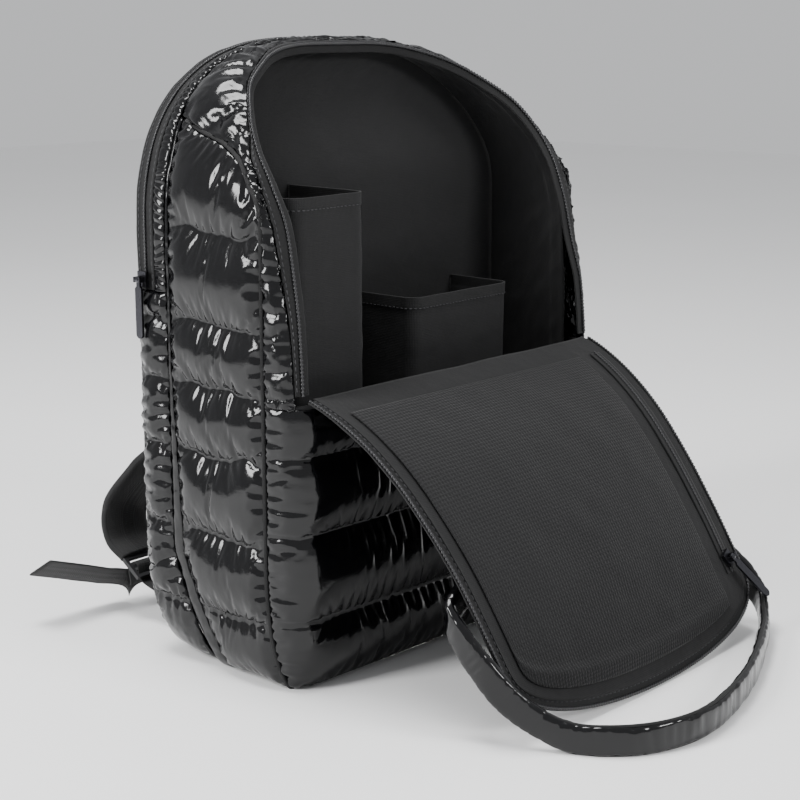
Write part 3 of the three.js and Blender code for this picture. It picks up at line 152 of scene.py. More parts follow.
def monotone(keys: Sequence[float], values: Sequence[float], at: Grid) -> Grid:
    """Monotone cubic through points.

    Each inner tangent is the harmonic mean of the slopes on both sides, and Hermite's cubic joins the points.

    Args:
        keys: Rising keys of the points.
        values: Their values.
        at: Where to read the curve.

    Returns:
        The curve's value at each place.
    """
    keys, values = np.asarray(keys, float), np.asarray(values, float)
    slopes = np.diff(values) / np.diff(keys)
    tangents = np.concatenate([slopes[:1], np.zeros(len(keys) - 2), slopes[-1:]])
    product, total = slopes[:-1] * slopes[1:], slopes[:-1] + slopes[1:]
    tangents[1:-1] = np.where(product > 0, 2 * product / np.where(total == 0, 1, total), 0)
    held = np.clip(at, keys[0], keys[-1])
    row = np.clip(np.searchsorted(keys, held, side="right") - 1, 0, len(keys) - 2)
    width = keys[row + 1] - keys[row]
    t = (held - keys[row]) / width
    square, cube = t * t, t * t * t
    return (
        (2 * cube - 3 * square + 1) * values[row]
        + (cube - 2 * square + t) * width * tangents[row]
        + (3 * square - 2 * cube) * values[row + 1]
        + (cube - square) * width * tangents[row + 1]
    )


def cloth_noise(u: Grid, v: Grid, size: float, seed: int) -> Grid:
    """Smooth noise: random numbers on a square lattice, blended with a smooth step between its corners.

    Args:
        u: Place across the cloth.
        v: Place along it.
        size: Distance between the lattice's points.
        seed: Seed of the lattice.

    Returns:
        Values from -1 to 1.
    """
    lattice = np.random.default_rng(seed).uniform(-1, 1, (61, 61))
    a, b = u / size, v / size
    i, j = np.floor(a).astype(int), np.floor(b).astype(int)
    s, t = smoothstep(a - i, 0, 1), smoothstep(b - j, 0, 1)
    low = lerp(lattice[i % 61, j % 61], lattice[(i + 1) % 61, j % 61], s)
    high = lerp(lattice[i % 61, (j + 1) % 61], lattice[(i + 1) % 61, (j + 1) % 61], s)
    return lerp(low, high, t)


def gathers(along: Grid, away: Grid, pitch: float, reach: float, seed: int) -> Grid:
    """Puckers that leave a seam: a cosine along it with a wandering phase, fading away from the seam.

    Args:
        along: Place along the seam.
        away: Distance from the seam.
        pitch: Mean distance between puckers.
        reach: Distance over which they fade.
        seed: Seed of the phase and of each pucker's own length.

    Returns:
        Heights from -1 to 1.
    """
    phase = 3.2 * cloth_noise(along, away * 0.25, pitch * 2.3, seed)
    own_reach = reach * (1 + 0.65 * cloth_noise(along, 0 * along, pitch * 0.9, seed + 1))
    strength = 0.6 + 0.4 * cloth_noise(along, 0 * along, pitch * 1.7, seed + 2)
    return np.cos(2 * math.pi * along / pitch + phase) * np.exp(-away / own_reach) * strength


def outline(station: Grid, depth: Grid) -> tuple[Grid, Grid, Grid, Grid]:
    """The body's outline: a rounded lower corner, a straight side, a superellipse arch and a flat crown.

    Args:
        station: Station along the outline.
        depth: Distance in front of the rear edge.

    Returns:
        X and Z and the outward direction's X and Z.
    """
    station, depth = np.broadcast_arrays(np.asarray(station, float), np.asarray(depth, float))
    side = np.where(station <= MIDDLE, -1.0, 1.0)
    half = np.clip(np.where(station <= MIDDLE, station, LAST - station), FLOOR, MIDDLE)
    rear = smoothstep(B.depth - depth, B.depth * 0.55, B.depth * 0.9)
    reach = lerp(B.corner_reach, B.corner_rear_reach, rear)
    low = (SIDE - np.clip(half, FLOOR, SIDE)) * RIGHT_ANGLE
    high = np.clip(half - SHOULDER, 0, 1) * RIGHT_ANGLE
    power = 2 / B.squareness
    across, up = B.half_width - B.crown_half, B.shell_top - B.shoulder
    cosine, sine = np.maximum(np.cos(high), 0), np.sin(high)
    corner_x = B.half_width - reach * (1 - np.cos(low))
    x = np.where(half < SIDE, corner_x, B.crown_half + across * cosine**power)
    x = np.where(half > CROWN, B.crown_half * (MIDDLE - half), x)
    straight = lerp(B.corner_height, B.shoulder, np.clip(half - SIDE, 0, 1))
    z = np.where(half < SIDE, B.corner_height * (1 - np.sin(low)), straight + up * sine**power)
    nx = np.where(half < SIDE, np.cos(low) / reach, cosine ** (2 - power) / across)
    nz = np.where(half < SIDE, -np.sin(low) / B.corner_height, sine ** (2 - power) / up)
    size = np.hypot(nx, nz) + 1e-12
    return side * x, z, side * nx / size, nz / size


def station_at(height: Grid) -> Grid:
    """The left station at a height: the outline's formula turned round.

    Args:
        height: The height.

    Returns:
        The station, from 0 at the floor to 3 at the crown.
    """
    height = np.asarray(height, float)
    low = SIDE - np.arcsin(np.clip(1 - height / B.corner_height, 0, 1)) / RIGHT_ANGLE
    middle = SIDE + np.clip((height - B.corner_height) / (B.shoulder - B.corner_height), 0, 1)
    share = np.clip((height - B.shoulder) / (B.shell_top - B.shoulder), 0, 1)
    high = SHOULDER + np.arcsin(share ** (B.squareness / 2)) / RIGHT_ANGLE
    return np.where(height < B.corner_height, low, np.where(height < B.shoulder, middle, high))


def height_of(station: Grid) -> Grid:
    """Height of a station."""
    return outline(station, 0.0)[1]


def shell_point(station: Grid, depth: Grid, inset: Grid = 0.0) -> Grid:
    """Points X, Y, Z of the body's seam surface, moved inwards by an inset.

    Args:
        station: Station along the outline.
        depth: Distance in front of the rear edge.
        inset: Way inwards.

    Returns:
        The points, with X, Y and Z on the last axis.
    """
    x, z, nx, nz = outline(station, depth)
    y = REAR_Y - np.asarray(depth, float)
    return np.stack(np.broadcast_arrays(x - inset * nx, y, z - inset * nz), -1)


def tuck_share(station: Grid) -> Grid:
    """1 at the floor and 0 above the height of the tucked-in lower edges."""
    return np.clip(1 - height_of(station) / B.tuck_height, 0, 1)


def rear_edge(station: Grid) -> Grid:
    """Depth of the body's rear edge."""
    return B.rear_tuck * tuck_share(station) ** 1.5


def crown_share(station: Grid) -> Grid:
    """0 on the sides and 1 on the crown."""
    return smoothstep(height_of(station), B.height * 0.8, B.height * 0.97)


def rear_seam(station: Grid) -> Grid:
    """Depth of the seam in front of the main zip."""
    return lerp(B.rear_seam, B.crown_seam, crown_share(station)) + B.seam_sweep * tuck_share(station)


def zip_seam(station: Grid) -> Grid:
    """Depth of the main zip tape's front edge."""
    return rear_edge(station) + B.main_zip * (1 - 0.15 * crown_share(station))


def gusset_seam(station: Grid) -> Grid:
    """Depth of the side panel's rear seam."""
    widening = np.clip(1 - height_of(station) / B.gusset_height, 0, 1)
    return rear_seam(station) + B.gusset + B.gusset_widening * widening


def front_seam(station: Grid) -> Grid:
    """Depth of the front corner's seam."""
    return B.front_seam + B.front_sweep * tuck_share(station) ** 1.5


def side_top(depth: Grid) -> Grid:
    """Station of the side panel's upper edge at a depth."""
    return station_at(B.height * monotone(TOP_EDGE_DEPTH, TOP_EDGE_HEIGHT, np.asarray(depth) / B.depth))


def mirrored(station: Grid) -> Grid:
    """The left half's station for one of either half."""
    return np.where(station > MIDDLE, LAST - station, station)


def on_side(station: Grid, side: int) -> Grid:
    """A left station as it is for side 0, and turned to the right half for side 1."""
    return LAST - station if side else station


def tangents_of(line: Grid) -> Grid:
    """Unit tangents of a line of points."""
    return unit(np.gradient(line, axis=0))


def unit(vectors: Grid) -> Grid:
    """Vectors scaled to length 1 along their last axis."""
    return vectors / np.linalg.norm(vectors, axis=-1, keepdims=True)


def grid(rows: Grid, columns: Grid) -> tuple[Grid, Grid]:
    """The two parameters of a surface on a grid, rows first."""
    return tuple(np.meshgrid(rows, columns, indexing="ij"))


def on_edges(share: Grid) -> Grid:
    """True where a share is 0 or 1."""
    return (share < 1e-6) | (share > 1 - 1e-6)


def border_seam(station: Grid) -> Grid:
    """Depth of the front border's outer seam: front corner, side panel's top edge, then rear seam.

    Args:
        station: Station along the outline.

    Returns:
        The depth.
    """
    half = mirrored(station)
    depths = np.linspace(B.front_seam, B.rear_seam + B.gusset, 90)
    edge = side_top(depths)
    along = np.interp(half, edge, depths)
    step = np.clip((half - edge[-1]) / 0.02, 0, 1)
    return np.where(half > edge[-1], lerp(gusset_seam(half), rear_seam(half), step), along)


def coil_line(station: Grid) -> tuple[Grid, Grid]:
    """Depth and inset of the opening's zip coil."""
    height = height_of(station) / B.height
    depth = B.depth * monotone(COIL_HEIGHT, COIL_DEPTH, height)
    return depth, B.width * monotone(COIL_HEIGHT, COIL_INSET, height)


def opening_point(station: Grid, share: Grid, beyond: Grid = 0.0) -> Grid:
    """Points on a quarter-ellipse from the border's outer seam to the zip coil.

    Args:
        station: Station along the outline.
        share: 0 at the seam and 1 at the coil.
        beyond: Further way inwards.

    Returns:
        The points.
    """
    seam, (depth, inset) = border_seam(station), coil_line(station)
    angle = share * RIGHT_ANGLE
    return shell_point(station, seam + (depth - seam) * np.sin(angle), inset * (1 - np.cos(angle)) + beyond)


def border_width(station: Grid) -> Grid:
    """Distance from the border's outer seam to the coil."""
    return np.linalg.norm(opening_point(station, 0.0) - opening_point(station, 1.0), axis=-1)


def tape_share(station: Grid) -> Grid:
    """Share of the way from the border's seam to the coil at which the tape starts."""
    return 1 - np.minimum(B.tape_outside / border_width(station), 0.62) * 0.8


def channel(t: Grid, power: float = 0.55) -> Grid:
    """A quilted channel's section: 4t(1 - t) to a power."""
    return np.clip(4 * t * (1 - t), 0, 1) ** power


def steps_between(stops: Sequence[float], steps: Sequence[int]) -> Grid:
    """Even steps between each pair of stops, the stops included once."""
    runs = [np.linspace(a, b, n, endpoint=False) for a, b, n in zip(stops[:-1], stops[1:], steps)]
    return np.concatenate([*runs, [stops[-1]]])


def channel_shares(steps: Sequence[int]) -> Grid:
    """Each row's share of its own channel, for channels of so many steps."""
    return np.concatenate([*[np.arange(n) / n for n in steps], [1.0]])


def nearest_stop(values: Grid, stops: Sequence[float]) -> Grid:
    """True where a value is one of the stops."""
    return np.isclose(np.asarray(values)[:, None], np.asarray(stops)[None, :], atol=1e-9).any(1)


def surface_normals(points: Grid, outside: Grid) -> Grid:
    """Unit normals of a grid of points: the cross product of its two gradients, turned to face outside.

    Args:
        points: Grid of points, rows by columns by three.
        outside: A direction, or a grid of directions, that the normals face.

    Returns:
        Grid of unit vectors.
    """
    normal = np.cross(np.gradient(points, axis=0), np.gradient(points, axis=1))
    normal /= np.linalg.norm(normal, axis=-1, keepdims=True) + 1e-12
    facing = np.sum(normal * outside, axis=-1, keepdims=True)
    return normal * np.where(facing < 0, -1.0, 1.0)


def from_middle(points: Grid) -> Grid:
    """Directions from the middle of the body to points."""
    return points - np.array([0.0, REAR_Y / 2, B.height / 2])


def running_length(points: Grid, axis: int) -> Grid:
    """Length along one axis of a grid up to each point.

    Args:
        points: Rows by columns by three.
        axis: 0 along the columns and 1 along the rows.

    Returns:
        Rows by columns.
    """
    step = np.linalg.norm(np.diff(points, axis=axis), axis=-1)
    start = np.zeros_like(np.take(step, [0], axis=axis))
    return np.concatenate([start, np.cumsum(step, axis=axis)], axis=axis)


def line_length(line: Grid) -> Grid:
    """Length along a line of points up to each point."""
    return running_length(line[:, None], 0)[:, 0]


def at_lengths(places: Grid, length: Grid, values: Grid) -> Grid:
    """Three-part values along a line, read at places given as lengths."""
    return np.stack([np.interp(places, length, values[:, i]) for i in range(3)], -1)


def per_metre(size_mm: float) -> float:
    """Scale of a texture whose pattern is so many millimetres wide."""
    return 1 / (size_mm * METRES)


def linear(colour: str) -> tuple[float, float, float, float]:
    """An sRGB colour as a linear one, by the standard's curve.

    Args:
        colour: Hex colour with a leading hash.

    Returns:
        Linear red, green, blue and alpha.
    """
    parts = np.array([int(colour[i : i + 2], 16) for i in (1, 3, 5)]) / 255
    low, high = parts / 12.92, ((parts + 0.055) / 1.055) ** 2.4
    return (*np.where(parts <= 0.04045, low, high).tolist(), 1.0)


def add_node(
    tree: Tree, kind: str, settings: dict | None = None, **inputs: object
) -> Node:
    """Adds a node with its settings, constants and links.

    Args:
        tree: The node tree.
        kind: The node's type.
        settings: Values of the node's own properties.
        **inputs: Inputs by name, with underscores for spaces, or by an underscore and a number. A socket is
            linked, and anything else is set.

    Returns:
        The new node.
    """
    node = tree.nodes.new(kind)
    for name, value in (settings or {}).items():
        setattr(node, name, value)
    for name, value in inputs.items():
        key = int(name[1:]) if name[1:].isdigit() else name.replace("_", " ")
        if isinstance(value, Socket):
            tree.links.new(value, node.inputs[key])
        else:
            node.inputs[key].default_value = value
    return node


class Coordinates(Enum):
    """Where a material reads its pattern from."""

    OBJECT = "Object"
    CLOTH = "UV"


@dataclass(frozen=True)
class Finish:
    """What every finish holds: its name, colours and gloss, and how to start and end a material."""

    name: str
    colour: str
    second_colour: str
    roughness: float
    roughness_spread: float = 0.08
    specular: float = 0.5
    coordinates: Coordinates = Coordinates.OBJECT

    def start(self) -> tuple[Material, Tree, Socket]:
        """Starts the material.

        Returns:
            The new material, its cleared tree and the socket of its coordinates.
        """
        made = bpy.data.materials.new(self.name)
        made.use_nodes = True
        tree = made.node_tree
        tree.nodes.clear()
        return made, tree, add_node(tree, "ShaderNodeTexCoord").outputs[self.coordinates.value]

    def finish(
        self,
        tree: Tree,
        mask: Socket,
        bump: Socket,
        **even_inputs: object,
    ) -> None:
        """Ends the tree with a Principled shader whose colour and roughness follow a mask.

        Args:
            tree: The material's tree.
            mask: 0 for the first colour and the smoother surface, 1 for the second and the rougher one.
            bump: The shader's normal.
            **even_inputs: Further inputs, the same all over the surface.
        """
        blend = add_node(
            tree, "ShaderNodeMix", {"data_type": "RGBA"},
            _0=mask, _6=linear(self.colour), _7=linear(self.second_colour),
        )
        low, high = self.roughness - self.roughness_spread, self.roughness + self.roughness_spread
        rough = add_node(tree, "ShaderNodeMapRange", None, Value=mask, To_Min=low, To_Max=high)
        shader = add_node(
            tree, "ShaderNodeBsdfPrincipled", None,
            Base_Color=blend.outputs[2], Roughness=rough.outputs[0], Normal=bump,
            Specular_IOR_Level=self.specular, **even_inputs,
        )
        add_node(tree, "ShaderNodeOutputMaterial", None, Surface=shader.outputs[0])


@dataclass(frozen=True)
class CoatedPuffer(Finish):
    """Downproof nylon with a wet-look polyurethane coat.

    The coat hides the weave. The eye gets near-black cloth with small, sharp highlights, broken up by creases
    of two sizes.
    """

    crumple_mm: float = 14.0
    crumple_depth: float = 0.35
    crease_mm: float = 2.6
    crease_depth: float = 0.06
    warp_mm: float = 6.0
    warp_size: float = 2.5
    coat: float = 0.1
    coat_roughness: float = 0.05
    specular: float = 0.34

    def material(self) -> Material:
        """Bump from warped noise at the size of hand creases, over the coat's own small crinkles.

        Returns:
            The material.
        """
        made, tree, where = self.start()
        warp = add_node(
            tree, "ShaderNodeTexNoise", None, Vector=where, Scale=per_metre(self.crumple_mm * self.warp_size),
        )
        shifted = add_node(
            tree, "ShaderNodeVectorMath", {"operation": "MULTIPLY_ADD"},
            _0=warp.outputs["Color"], _1=(self.warp_mm * METRES,) * 3, _2=where,
        )
        crumple = add_node(
            tree, "ShaderNodeTexNoise", {"noise_type": "RIDGED_MULTIFRACTAL", "normalize": True},
            Vector=shifted.outputs[0], Scale=per_metre(self.crumple_mm), Detail=2.0, Roughness=0.45,
        )
        crease = add_node(
            tree, "ShaderNodeTexNoise", None,
            Vector=shifted.outputs[0], Scale=per_metre(self.crease_mm), Detail=2.0, Distortion=0.6,
        )
        fine = add_node(
            tree, "ShaderNodeBump", None,
            Height=crease.outputs[0], Strength=self.crease_depth, Distance=METRES,
        )
        broad = add_node(
            tree, "ShaderNodeBump", None,
            Height=crumple.outputs[0], Strength=self.crumple_depth, Distance=METRES, Normal=fine.outputs[0],
        )
        self.finish(
            tree, crease.outputs[0], broad.outputs[0],
            Coat_Weight=self.coat, Coat_Roughness=self.coat_roughness,
        )
        return made


@dataclass(frozen=True)
class WovenCloth(Finish):
    """Plain-woven cloth: two crossed sets of threads.

    The eye gets a dull, even black with a fine rib and a faint sheen at the rims. Real lining has threads
    0.2 to 0.4 mm apart, too fine to show, so they are drawn as coarse as they need to be.
    """

    thread_mm: float = 1.1
    thread_rise_mm: float = 0.4
    weave_depth: float = 0.35
    crumple_mm: float = 22.0
    crumple_rise_mm: float = 4.0
    crumple_depth: float = 0.3
    sheen: float = 0.06
    specular: float = 0.3
    coordinates: Coordinates = Coordinates.CLOTH

    def material(self) -> Material:
        """Crossed sine waves at the thread's spacing, multiplied, over a broad crumple.

        Returns:
            The material.
        """
        made, tree, where = self.start()
        waves = [
            add_node(
                tree, "ShaderNodeTexWave", {"bands_direction": axis},
                Vector=where, Scale=per_metre(self.thread_mm) * WAVE_UNIT, Distortion=0.4, Detail=1.0,
            ).outputs[1]
            for axis in ("X", "Y")
        ]
        product = {"operation": "MULTIPLY"}
        weave = add_node(tree, "ShaderNodeMath", product, _0=waves[0], _1=waves[1]).outputs[0]
        broad = add_node(
            tree, "ShaderNodeTexNoise", None, Vector=where, Scale=per_metre(self.crumple_mm), Detail=3.0,
        ).outputs[0]
        mask = add_node(tree, "ShaderNodeMath", product, _0=weave, _1=broad)
        threads = add_node(
            tree, "ShaderNodeBump", None,
            Height=weave, Strength=self.weave_depth, Distance=self.thread_rise_mm * METRES,
        )
        folds = add_node(
            tree, "ShaderNodeBump", None,
            Height=broad, Strength=self.crumple_depth, Distance=self.crumple_rise_mm * METRES,
            Normal=threads.outputs[0],
        )
        self.finish(tree, mask.outputs[0], folds.outputs[0], Sheen_Weight=self.sheen)
        return made


@dataclass(frozen=True)
class KnittedNet(Finish):
    """Knitted polyester net: rows of small round holes in a matte ground.

    The eye gets a dark grain of dots on dull black. Real holes are about 1 mm apart, too fine to show, so
    they are drawn as coarse as they need to be.
    """

    hole_mm: float = 2.6
    irregularity: float = 0.22
    hole_rim: float = 0.22
    ground_start: float = 0.5
    net_depth: float = 0.7
    net_rise_mm: float = 0.5
    crumple_mm: float = 40.0
    crumple_rise_mm: float = 5.0
    crumple_depth: float = 0.3
    sheen: float = 0.05
    specular: float = 0.3
    coordinates: Coordinates = Coordinates.CLOTH

    def material(self) -> Material:
        """Distance to the nearest cell's middle makes the holes: dark and sunk inside, light between.

        Returns:
            The material.
        """
        made, tree, where = self.start()
        cells = add_node(
            tree, "ShaderNodeTexVoronoi", {"feature": "F1"},
            Vector=where, Scale=per_metre(self.hole_mm), Randomness=self.irregularity,
        )
        ground = add_node(
            tree, "ShaderNodeMapRange", None,
            Value=cells.outputs[0], From_Min=self.hole_rim, From_Max=self.ground_start,
        )
        broad = add_node(
            tree, "ShaderNodeTexNoise", None, Vector=where, Scale=per_metre(self.crumple_mm), Detail=3.0,
        )
        net = add_node(
            tree, "ShaderNodeBump", None,
            Height=ground.outputs[0], Strength=self.net_depth, Distance=self.net_rise_mm * METRES,
        )
        folds = add_node(
            tree, "ShaderNodeBump", None,
            Height=broad.outputs[0], Strength=self.crumple_depth, Distance=self.crumple_rise_mm * METRES,
            Normal=net.outputs[0],
        )
        self.finish(tree, ground.outputs[0], folds.outputs[0], Sheen_Weight=self.sheen)
        return made


@dataclass(frozen=True)
class CastOrMoulded(Finish):
    """Plated zinc, moulded acetal or drawn nylon: even, with a faint orange peel that softens highlights."""

    metallic: float = 0.0
    grain_mm: float = 0.7
    peel_depth: float = 0.15
    peel_rise_mm: float = 0.2

    def material(self) -> Material:
        """Fine noise at the grain's size moves gloss and surface a little.

        Returns:
            The material.
        """
        made, tree, where = self.start()
        grain = add_node(
            tree, "ShaderNodeTexNoise", None, Vector=where, Scale=per_metre(self.grain_mm), Detail=2.0,
        )
        peel = add_node(
            tree, "ShaderNodeBump", None,
            Height=grain.outputs[0], Strength=self.peel_depth, Distance=self.peel_rise_mm * METRES,
        )
        self.finish(tree, grain.outputs[0], peel.outputs[0], Metallic=self.metallic)
        return made


class Wardrobe:
    """All finishes of the bag, made once."""

    def __init__(self) -> None:
        """Makes every material; each comment says what it gives the eye."""
        # Coated nylon pulled smooth over the filling: black mirrors with soft creases.
        self.puffer = CoatedPuffer(
            "coated_nylon_puffer", "#040405", "#08080a", roughness=0.13, roughness_spread=0.04,
        ).material()
        # The same cloth gathered at a seam: smaller and deeper creases, so many short glints.
        self.crumpled = CoatedPuffer(
            "coated_nylon_gathered", "#040405", "#09090b", roughness=0.14, roughness_spread=0.04,
            crumple_mm=8.0, crease_mm=2.4, crumple_depth=0.6,
        ).material()
        # Polyester lining: dull and a little lighter than the shell, so that the inside reads as cloth.
        self.lining = WovenCloth("woven_polyester_lining", "#0c0c0d", "#171718", roughness=0.85).material()
        # Nylon of the sleeves: stiffer than the lining, with longer, calmer waves.
        self.sleeve = WovenCloth(
            "woven_nylon_sleeve", "#0b0b0c", "#161617", roughness=0.8, crumple_mm=30.0,
        ).material()
        # Net of the pocket: a dotted grain over the lining.
        self.net = KnittedNet("knitted_polyester_net", "#070708", "#171718", roughness=0.85).material()
        # Zip tape and binding: dense and flat, a quiet matte line beside the glossy shell.
        self.tape = WovenCloth(
            "woven_zip_tape", "#080809", "#121213", roughness=0.78, thread_mm=0.9, crumple_depth=0.1,
        ).material()
        # Polypropylene webbing: ribs of their real size, deep enough to catch the light.
        self.webbing = WovenCloth(
            "ribbed_polypropylene_webbing", "#0a0a0b", "#171718", roughness=0.72,
            thread_mm=1.6, weave_depth=0.7,
        ).material()
        # Nylon coil: smoother than its tape, so that the row of teeth glints.
        self.nylon = CastOrMoulded(
            "nylon_zip_coil", "#0f0f11", "#1a1a1d", roughness=0.42, roughness_spread=0.1,
        ).material()
        # Moulded acetal of the buckles: satin black plastic.
        self.acetal = CastOrMoulded("moulded_acetal", "#0d0d0f", "#151517", roughness=0.4).material()
        # Polyester thread: lighter than the cloth, so that the stitches show as dots.
        self.thread = CastOrMoulded("polyester_thread", "#1d1d1f", "#2b2b2e", roughness=0.6).material()
        # Gunmetal plating on zinc: the only metal, dark grey with a clear glint.
        self.plating = CastOrMoulded(
            "gunmetal_plated_zinc", "#3a3a3e", "#525257", roughness=0.3, metallic=1.0,
        ).material()


class Soft(Enum):
    """Kinds of soft piece."""

    PADDED = "padded"
    SHEET = "sheet"
    TRIM = "trim"


def mesh_object(name: str, vertices: Grid, faces: Grid, cloth: Grid | None) -> Piece:
    """A mesh object from vertices, quads and an optional place on the cloth for each vertex.

    Args:
        name: Name of the piece.
        vertices: Points, n by 3.
        faces: Quads, m by 4.
        cloth: Place of each vertex on the flat cloth, n by 2, kept as a UV map in metres.

    Returns:
        The object, linked to the scene.
    """
    mesh = bpy.data.meshes.new(name)
    mesh.vertices.add(len(vertices))
    mesh.vertices.foreach_set("co", (vertices * METRES).astype(np.float32).ravel())
    mesh.loops.add(faces.size)
    mesh.loops.foreach_set("vertex_index", faces.astype(np.int32).ravel())
    mesh.polygons.add(len(faces))
    mesh.polygons.foreach_set("loop_start", np.arange(len(faces), dtype=np.int32) * 4)
    if cloth is not None:
        layer = mesh.uv_layers.new(name="cloth")
        layer.data.foreach_set("uv", (cloth[faces.ravel()] * METRES).astype(np.float32).ravel())
    mesh.update(calc_edges=True)
    mesh.validate()
    mesh.shade_smooth()
    made = bpy.data.objects.new(name, mesh)
    bpy.context.scene.collection.objects.link(made)
    return made


def grid_faces(rows: int, columns: int, outside_first: bool) -> Grid:
    """Quads of a grid of points.

    Args:
        rows: Rows of points.
        columns: Columns of points.
        outside_first: Which way round the quads run.

    Returns:
        Quads, n by 4.
    """
    at = np.arange(rows * columns).reshape(rows, columns)
    corners = [at[:-1, :-1], at[:-1, 1:], at[1:, 1:], at[1:, :-1]]
    if not outside_first:
        corners.reverse()
    return np.stack([c.ravel() for c in corners], -1)


def cloth_sheet(name: str, points: Grid, outside: Grid, wall: float) -> Piece:
    """A sheet through a grid of points, its faces turned outside, with a wall inwards from Solidify.

    Args:
        name: Name of the piece.
        points: Rows by columns by three.
        outside: Directions that the outer face looks in.
        wall: Thickness inwards.

    Returns:
        The piece.
    """
    normal = np.cross(np.gradient(points, axis=1), np.gradient(points, axis=0))
    outside_first = np.sum(normal * outside) > 0
    cloth = np.stack([running_length(points, 1), running_length(points, 0)], -1).reshape(-1, 2)
    faces = grid_faces(points.shape[0], points.shape[1], outside_first)
    made = mesh_object(name, points.reshape(-1, 3), faces, cloth)
    solid = made.modifiers.new("Wall", "SOLIDIFY")
    solid.thickness = wall * METRES
    solid.offset = -1.0
    solid.use_even_offset = False
    return made


def tube(name: str, rings: Grid, cloth_width: float) -> Piece:
    """A closed tube through rings of points, its two ends closed by a shrunken ring.

    Args:
        name: Name of the piece.
        rings: Steps by points round by three.
        cloth_width: Length round the section, for the place on the cloth.

    Returns:
        The piece.
    """
    full = np.concatenate([shrunken(rings[:1]), rings, shrunken(rings[-1:])])
    steps, sides = full.shape[:2]
    at = np.arange(steps * sides).reshape(steps, sides)
    around = np.roll(at, -1, axis=1)
    faces = np.stack([at[:-1], around[:-1], around[1:], at[1:]], -1).reshape(-1, 4)
    along = running_length(full, 0)
    round_share = np.broadcast_to(np.linspace(0, cloth_width, sides), (steps, sides))
    cloth = np.stack([round_share, along], -1).reshape(-1, 2)
    made = mesh_object(name, full.reshape(-1, 3), faces, cloth)
    centre = full.mean(1, keepdims=True)
    normal = np.cross(around_vector(full), np.gradient(full, axis=0))
    if np.sum(normal * (full - centre)) < 0:
        made.data.flip_normals()
    return made


def shrunken(ring: Grid, size: float = 0.02) -> Grid:
    """A ring drawn together to its middle, which closes a tube's end."""
    middle = ring.mean(1, keepdims=True)
    return middle + (ring - middle) * size


def around_vector(rings: Grid) -> Grid:
    """Step from each point of a ring to the next one round."""
    return np.roll(rings, -1, axis=1) - rings


def between_knots(low: Grid, high: Grid, t: Grid, first: float, last: float) -> Grid:
    """Straight blend of two points at t between two knots."""
    return (last - t) / (last - first) * low + (t - first) / (last - first) * high


def catmull(points: Grid, steps_each: int) -> tuple[Grid, Grid]:
    """Centripetal Catmull-Rom curve: knots spaced by the square root of the points' distances.

    Args:
        points: Control points, n by 3.
        steps_each: Steps between two control points.

    Returns:
        Points on the curve and unit tangents.
    """
    spread = np.vstack([2 * points[0] - points[1], points, 2 * points[-1] - points[-2]])
    gaps = np.linalg.norm(np.diff(spread, axis=0), axis=1) ** 0.5
    knots = np.concatenate([[0], np.cumsum(gaps)])
    runs = []
    for i in range(1, len(spread) - 2):
        p, k = spread[i - 1 : i + 3], knots[i - 1 : i + 3]
        t = np.linspace(k[1], k[2], steps_each, endpoint=False)[:, None]
        a = [between_knots(p[j], p[j + 1], t, k[j], k[j + 1]) for j in range(3)]
        b = [between_knots(a[j], a[j + 1], t, k[j], k[j + 2]) for j in range(2)]
        runs.append(between_knots(b[0], b[1], t, k[1], k[2]))
    line = np.vstack([*runs, points[-1:]])
    return line, tangents_of(line)


def band_rings(
    line: Grid, tangent: Grid, wide: Grid, width: Grid, thickness: Grid, sides: int, roundness: float
) -> Grid:
    """Rings of a flat band: superellipse sections, wide across a given direction.

    Args:
        line: Points of the centre line, n by 3.
        tangent: Unit tangents.
        wide: Directions of the width, n by 3 or one.
        width: Width at each point, or one.
        thickness: Thickness at each point, or one.
        sides: Points round the section.
        roundness: Exponent of the section; 1 is an ellipse, less is squarer.

    Returns:
        Rings, n by sides by 3.
    """
    wide = np.broadcast_to(wide, line.shape)
    wide = unit(wide - np.sum(wide * tangent, axis=1, keepdims=True) * tangent)
    thin = np.cross(tangent, wide)
    angle = (np.arange(sides) + 0.5) / sides * 2 * math.pi
    cosine, sine = np.cos(angle), np.sin(angle)
    u = np.sign(cosine) * np.abs(cosine) ** roundness / 2
    v = np.sign(sine) * np.abs(sine) ** roundness / 2
    width, thickness = np.broadcast_to(width, len(line)), np.broadcast_to(thickness, len(line))
    rings = line[:, None] + wide[:, None] * (u * width[:, None])[..., None]
    return rings + thin[:, None] * (v * thickness[:, None])[..., None]


def dress(
    piece: Piece,
    finish: Material,
    nodes: Sequence[str] = (),
) -> None:
    """Gives a piece its finish, its body and the solids it stands for.

    Args:
        piece: The piece.
        finish: Its material.
        nodes: CAD nodes that it replaces.
    """
    piece.data.materials.clear()
    piece.data.materials.append(finish)
    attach(piece, BAG)
    if nodes:
        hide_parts(*nodes)
    LOG.info("%s: %d faces", piece.name, len(piece.data.polygons))


@dataclass
class Puff:
    """A quilted sheet to be blown up, with its seams pinned."""

    piece: Piece
    pinned: Grid
    gathered: Grid
    growth: float
    most: float
    start: Grid
    normal: Grid


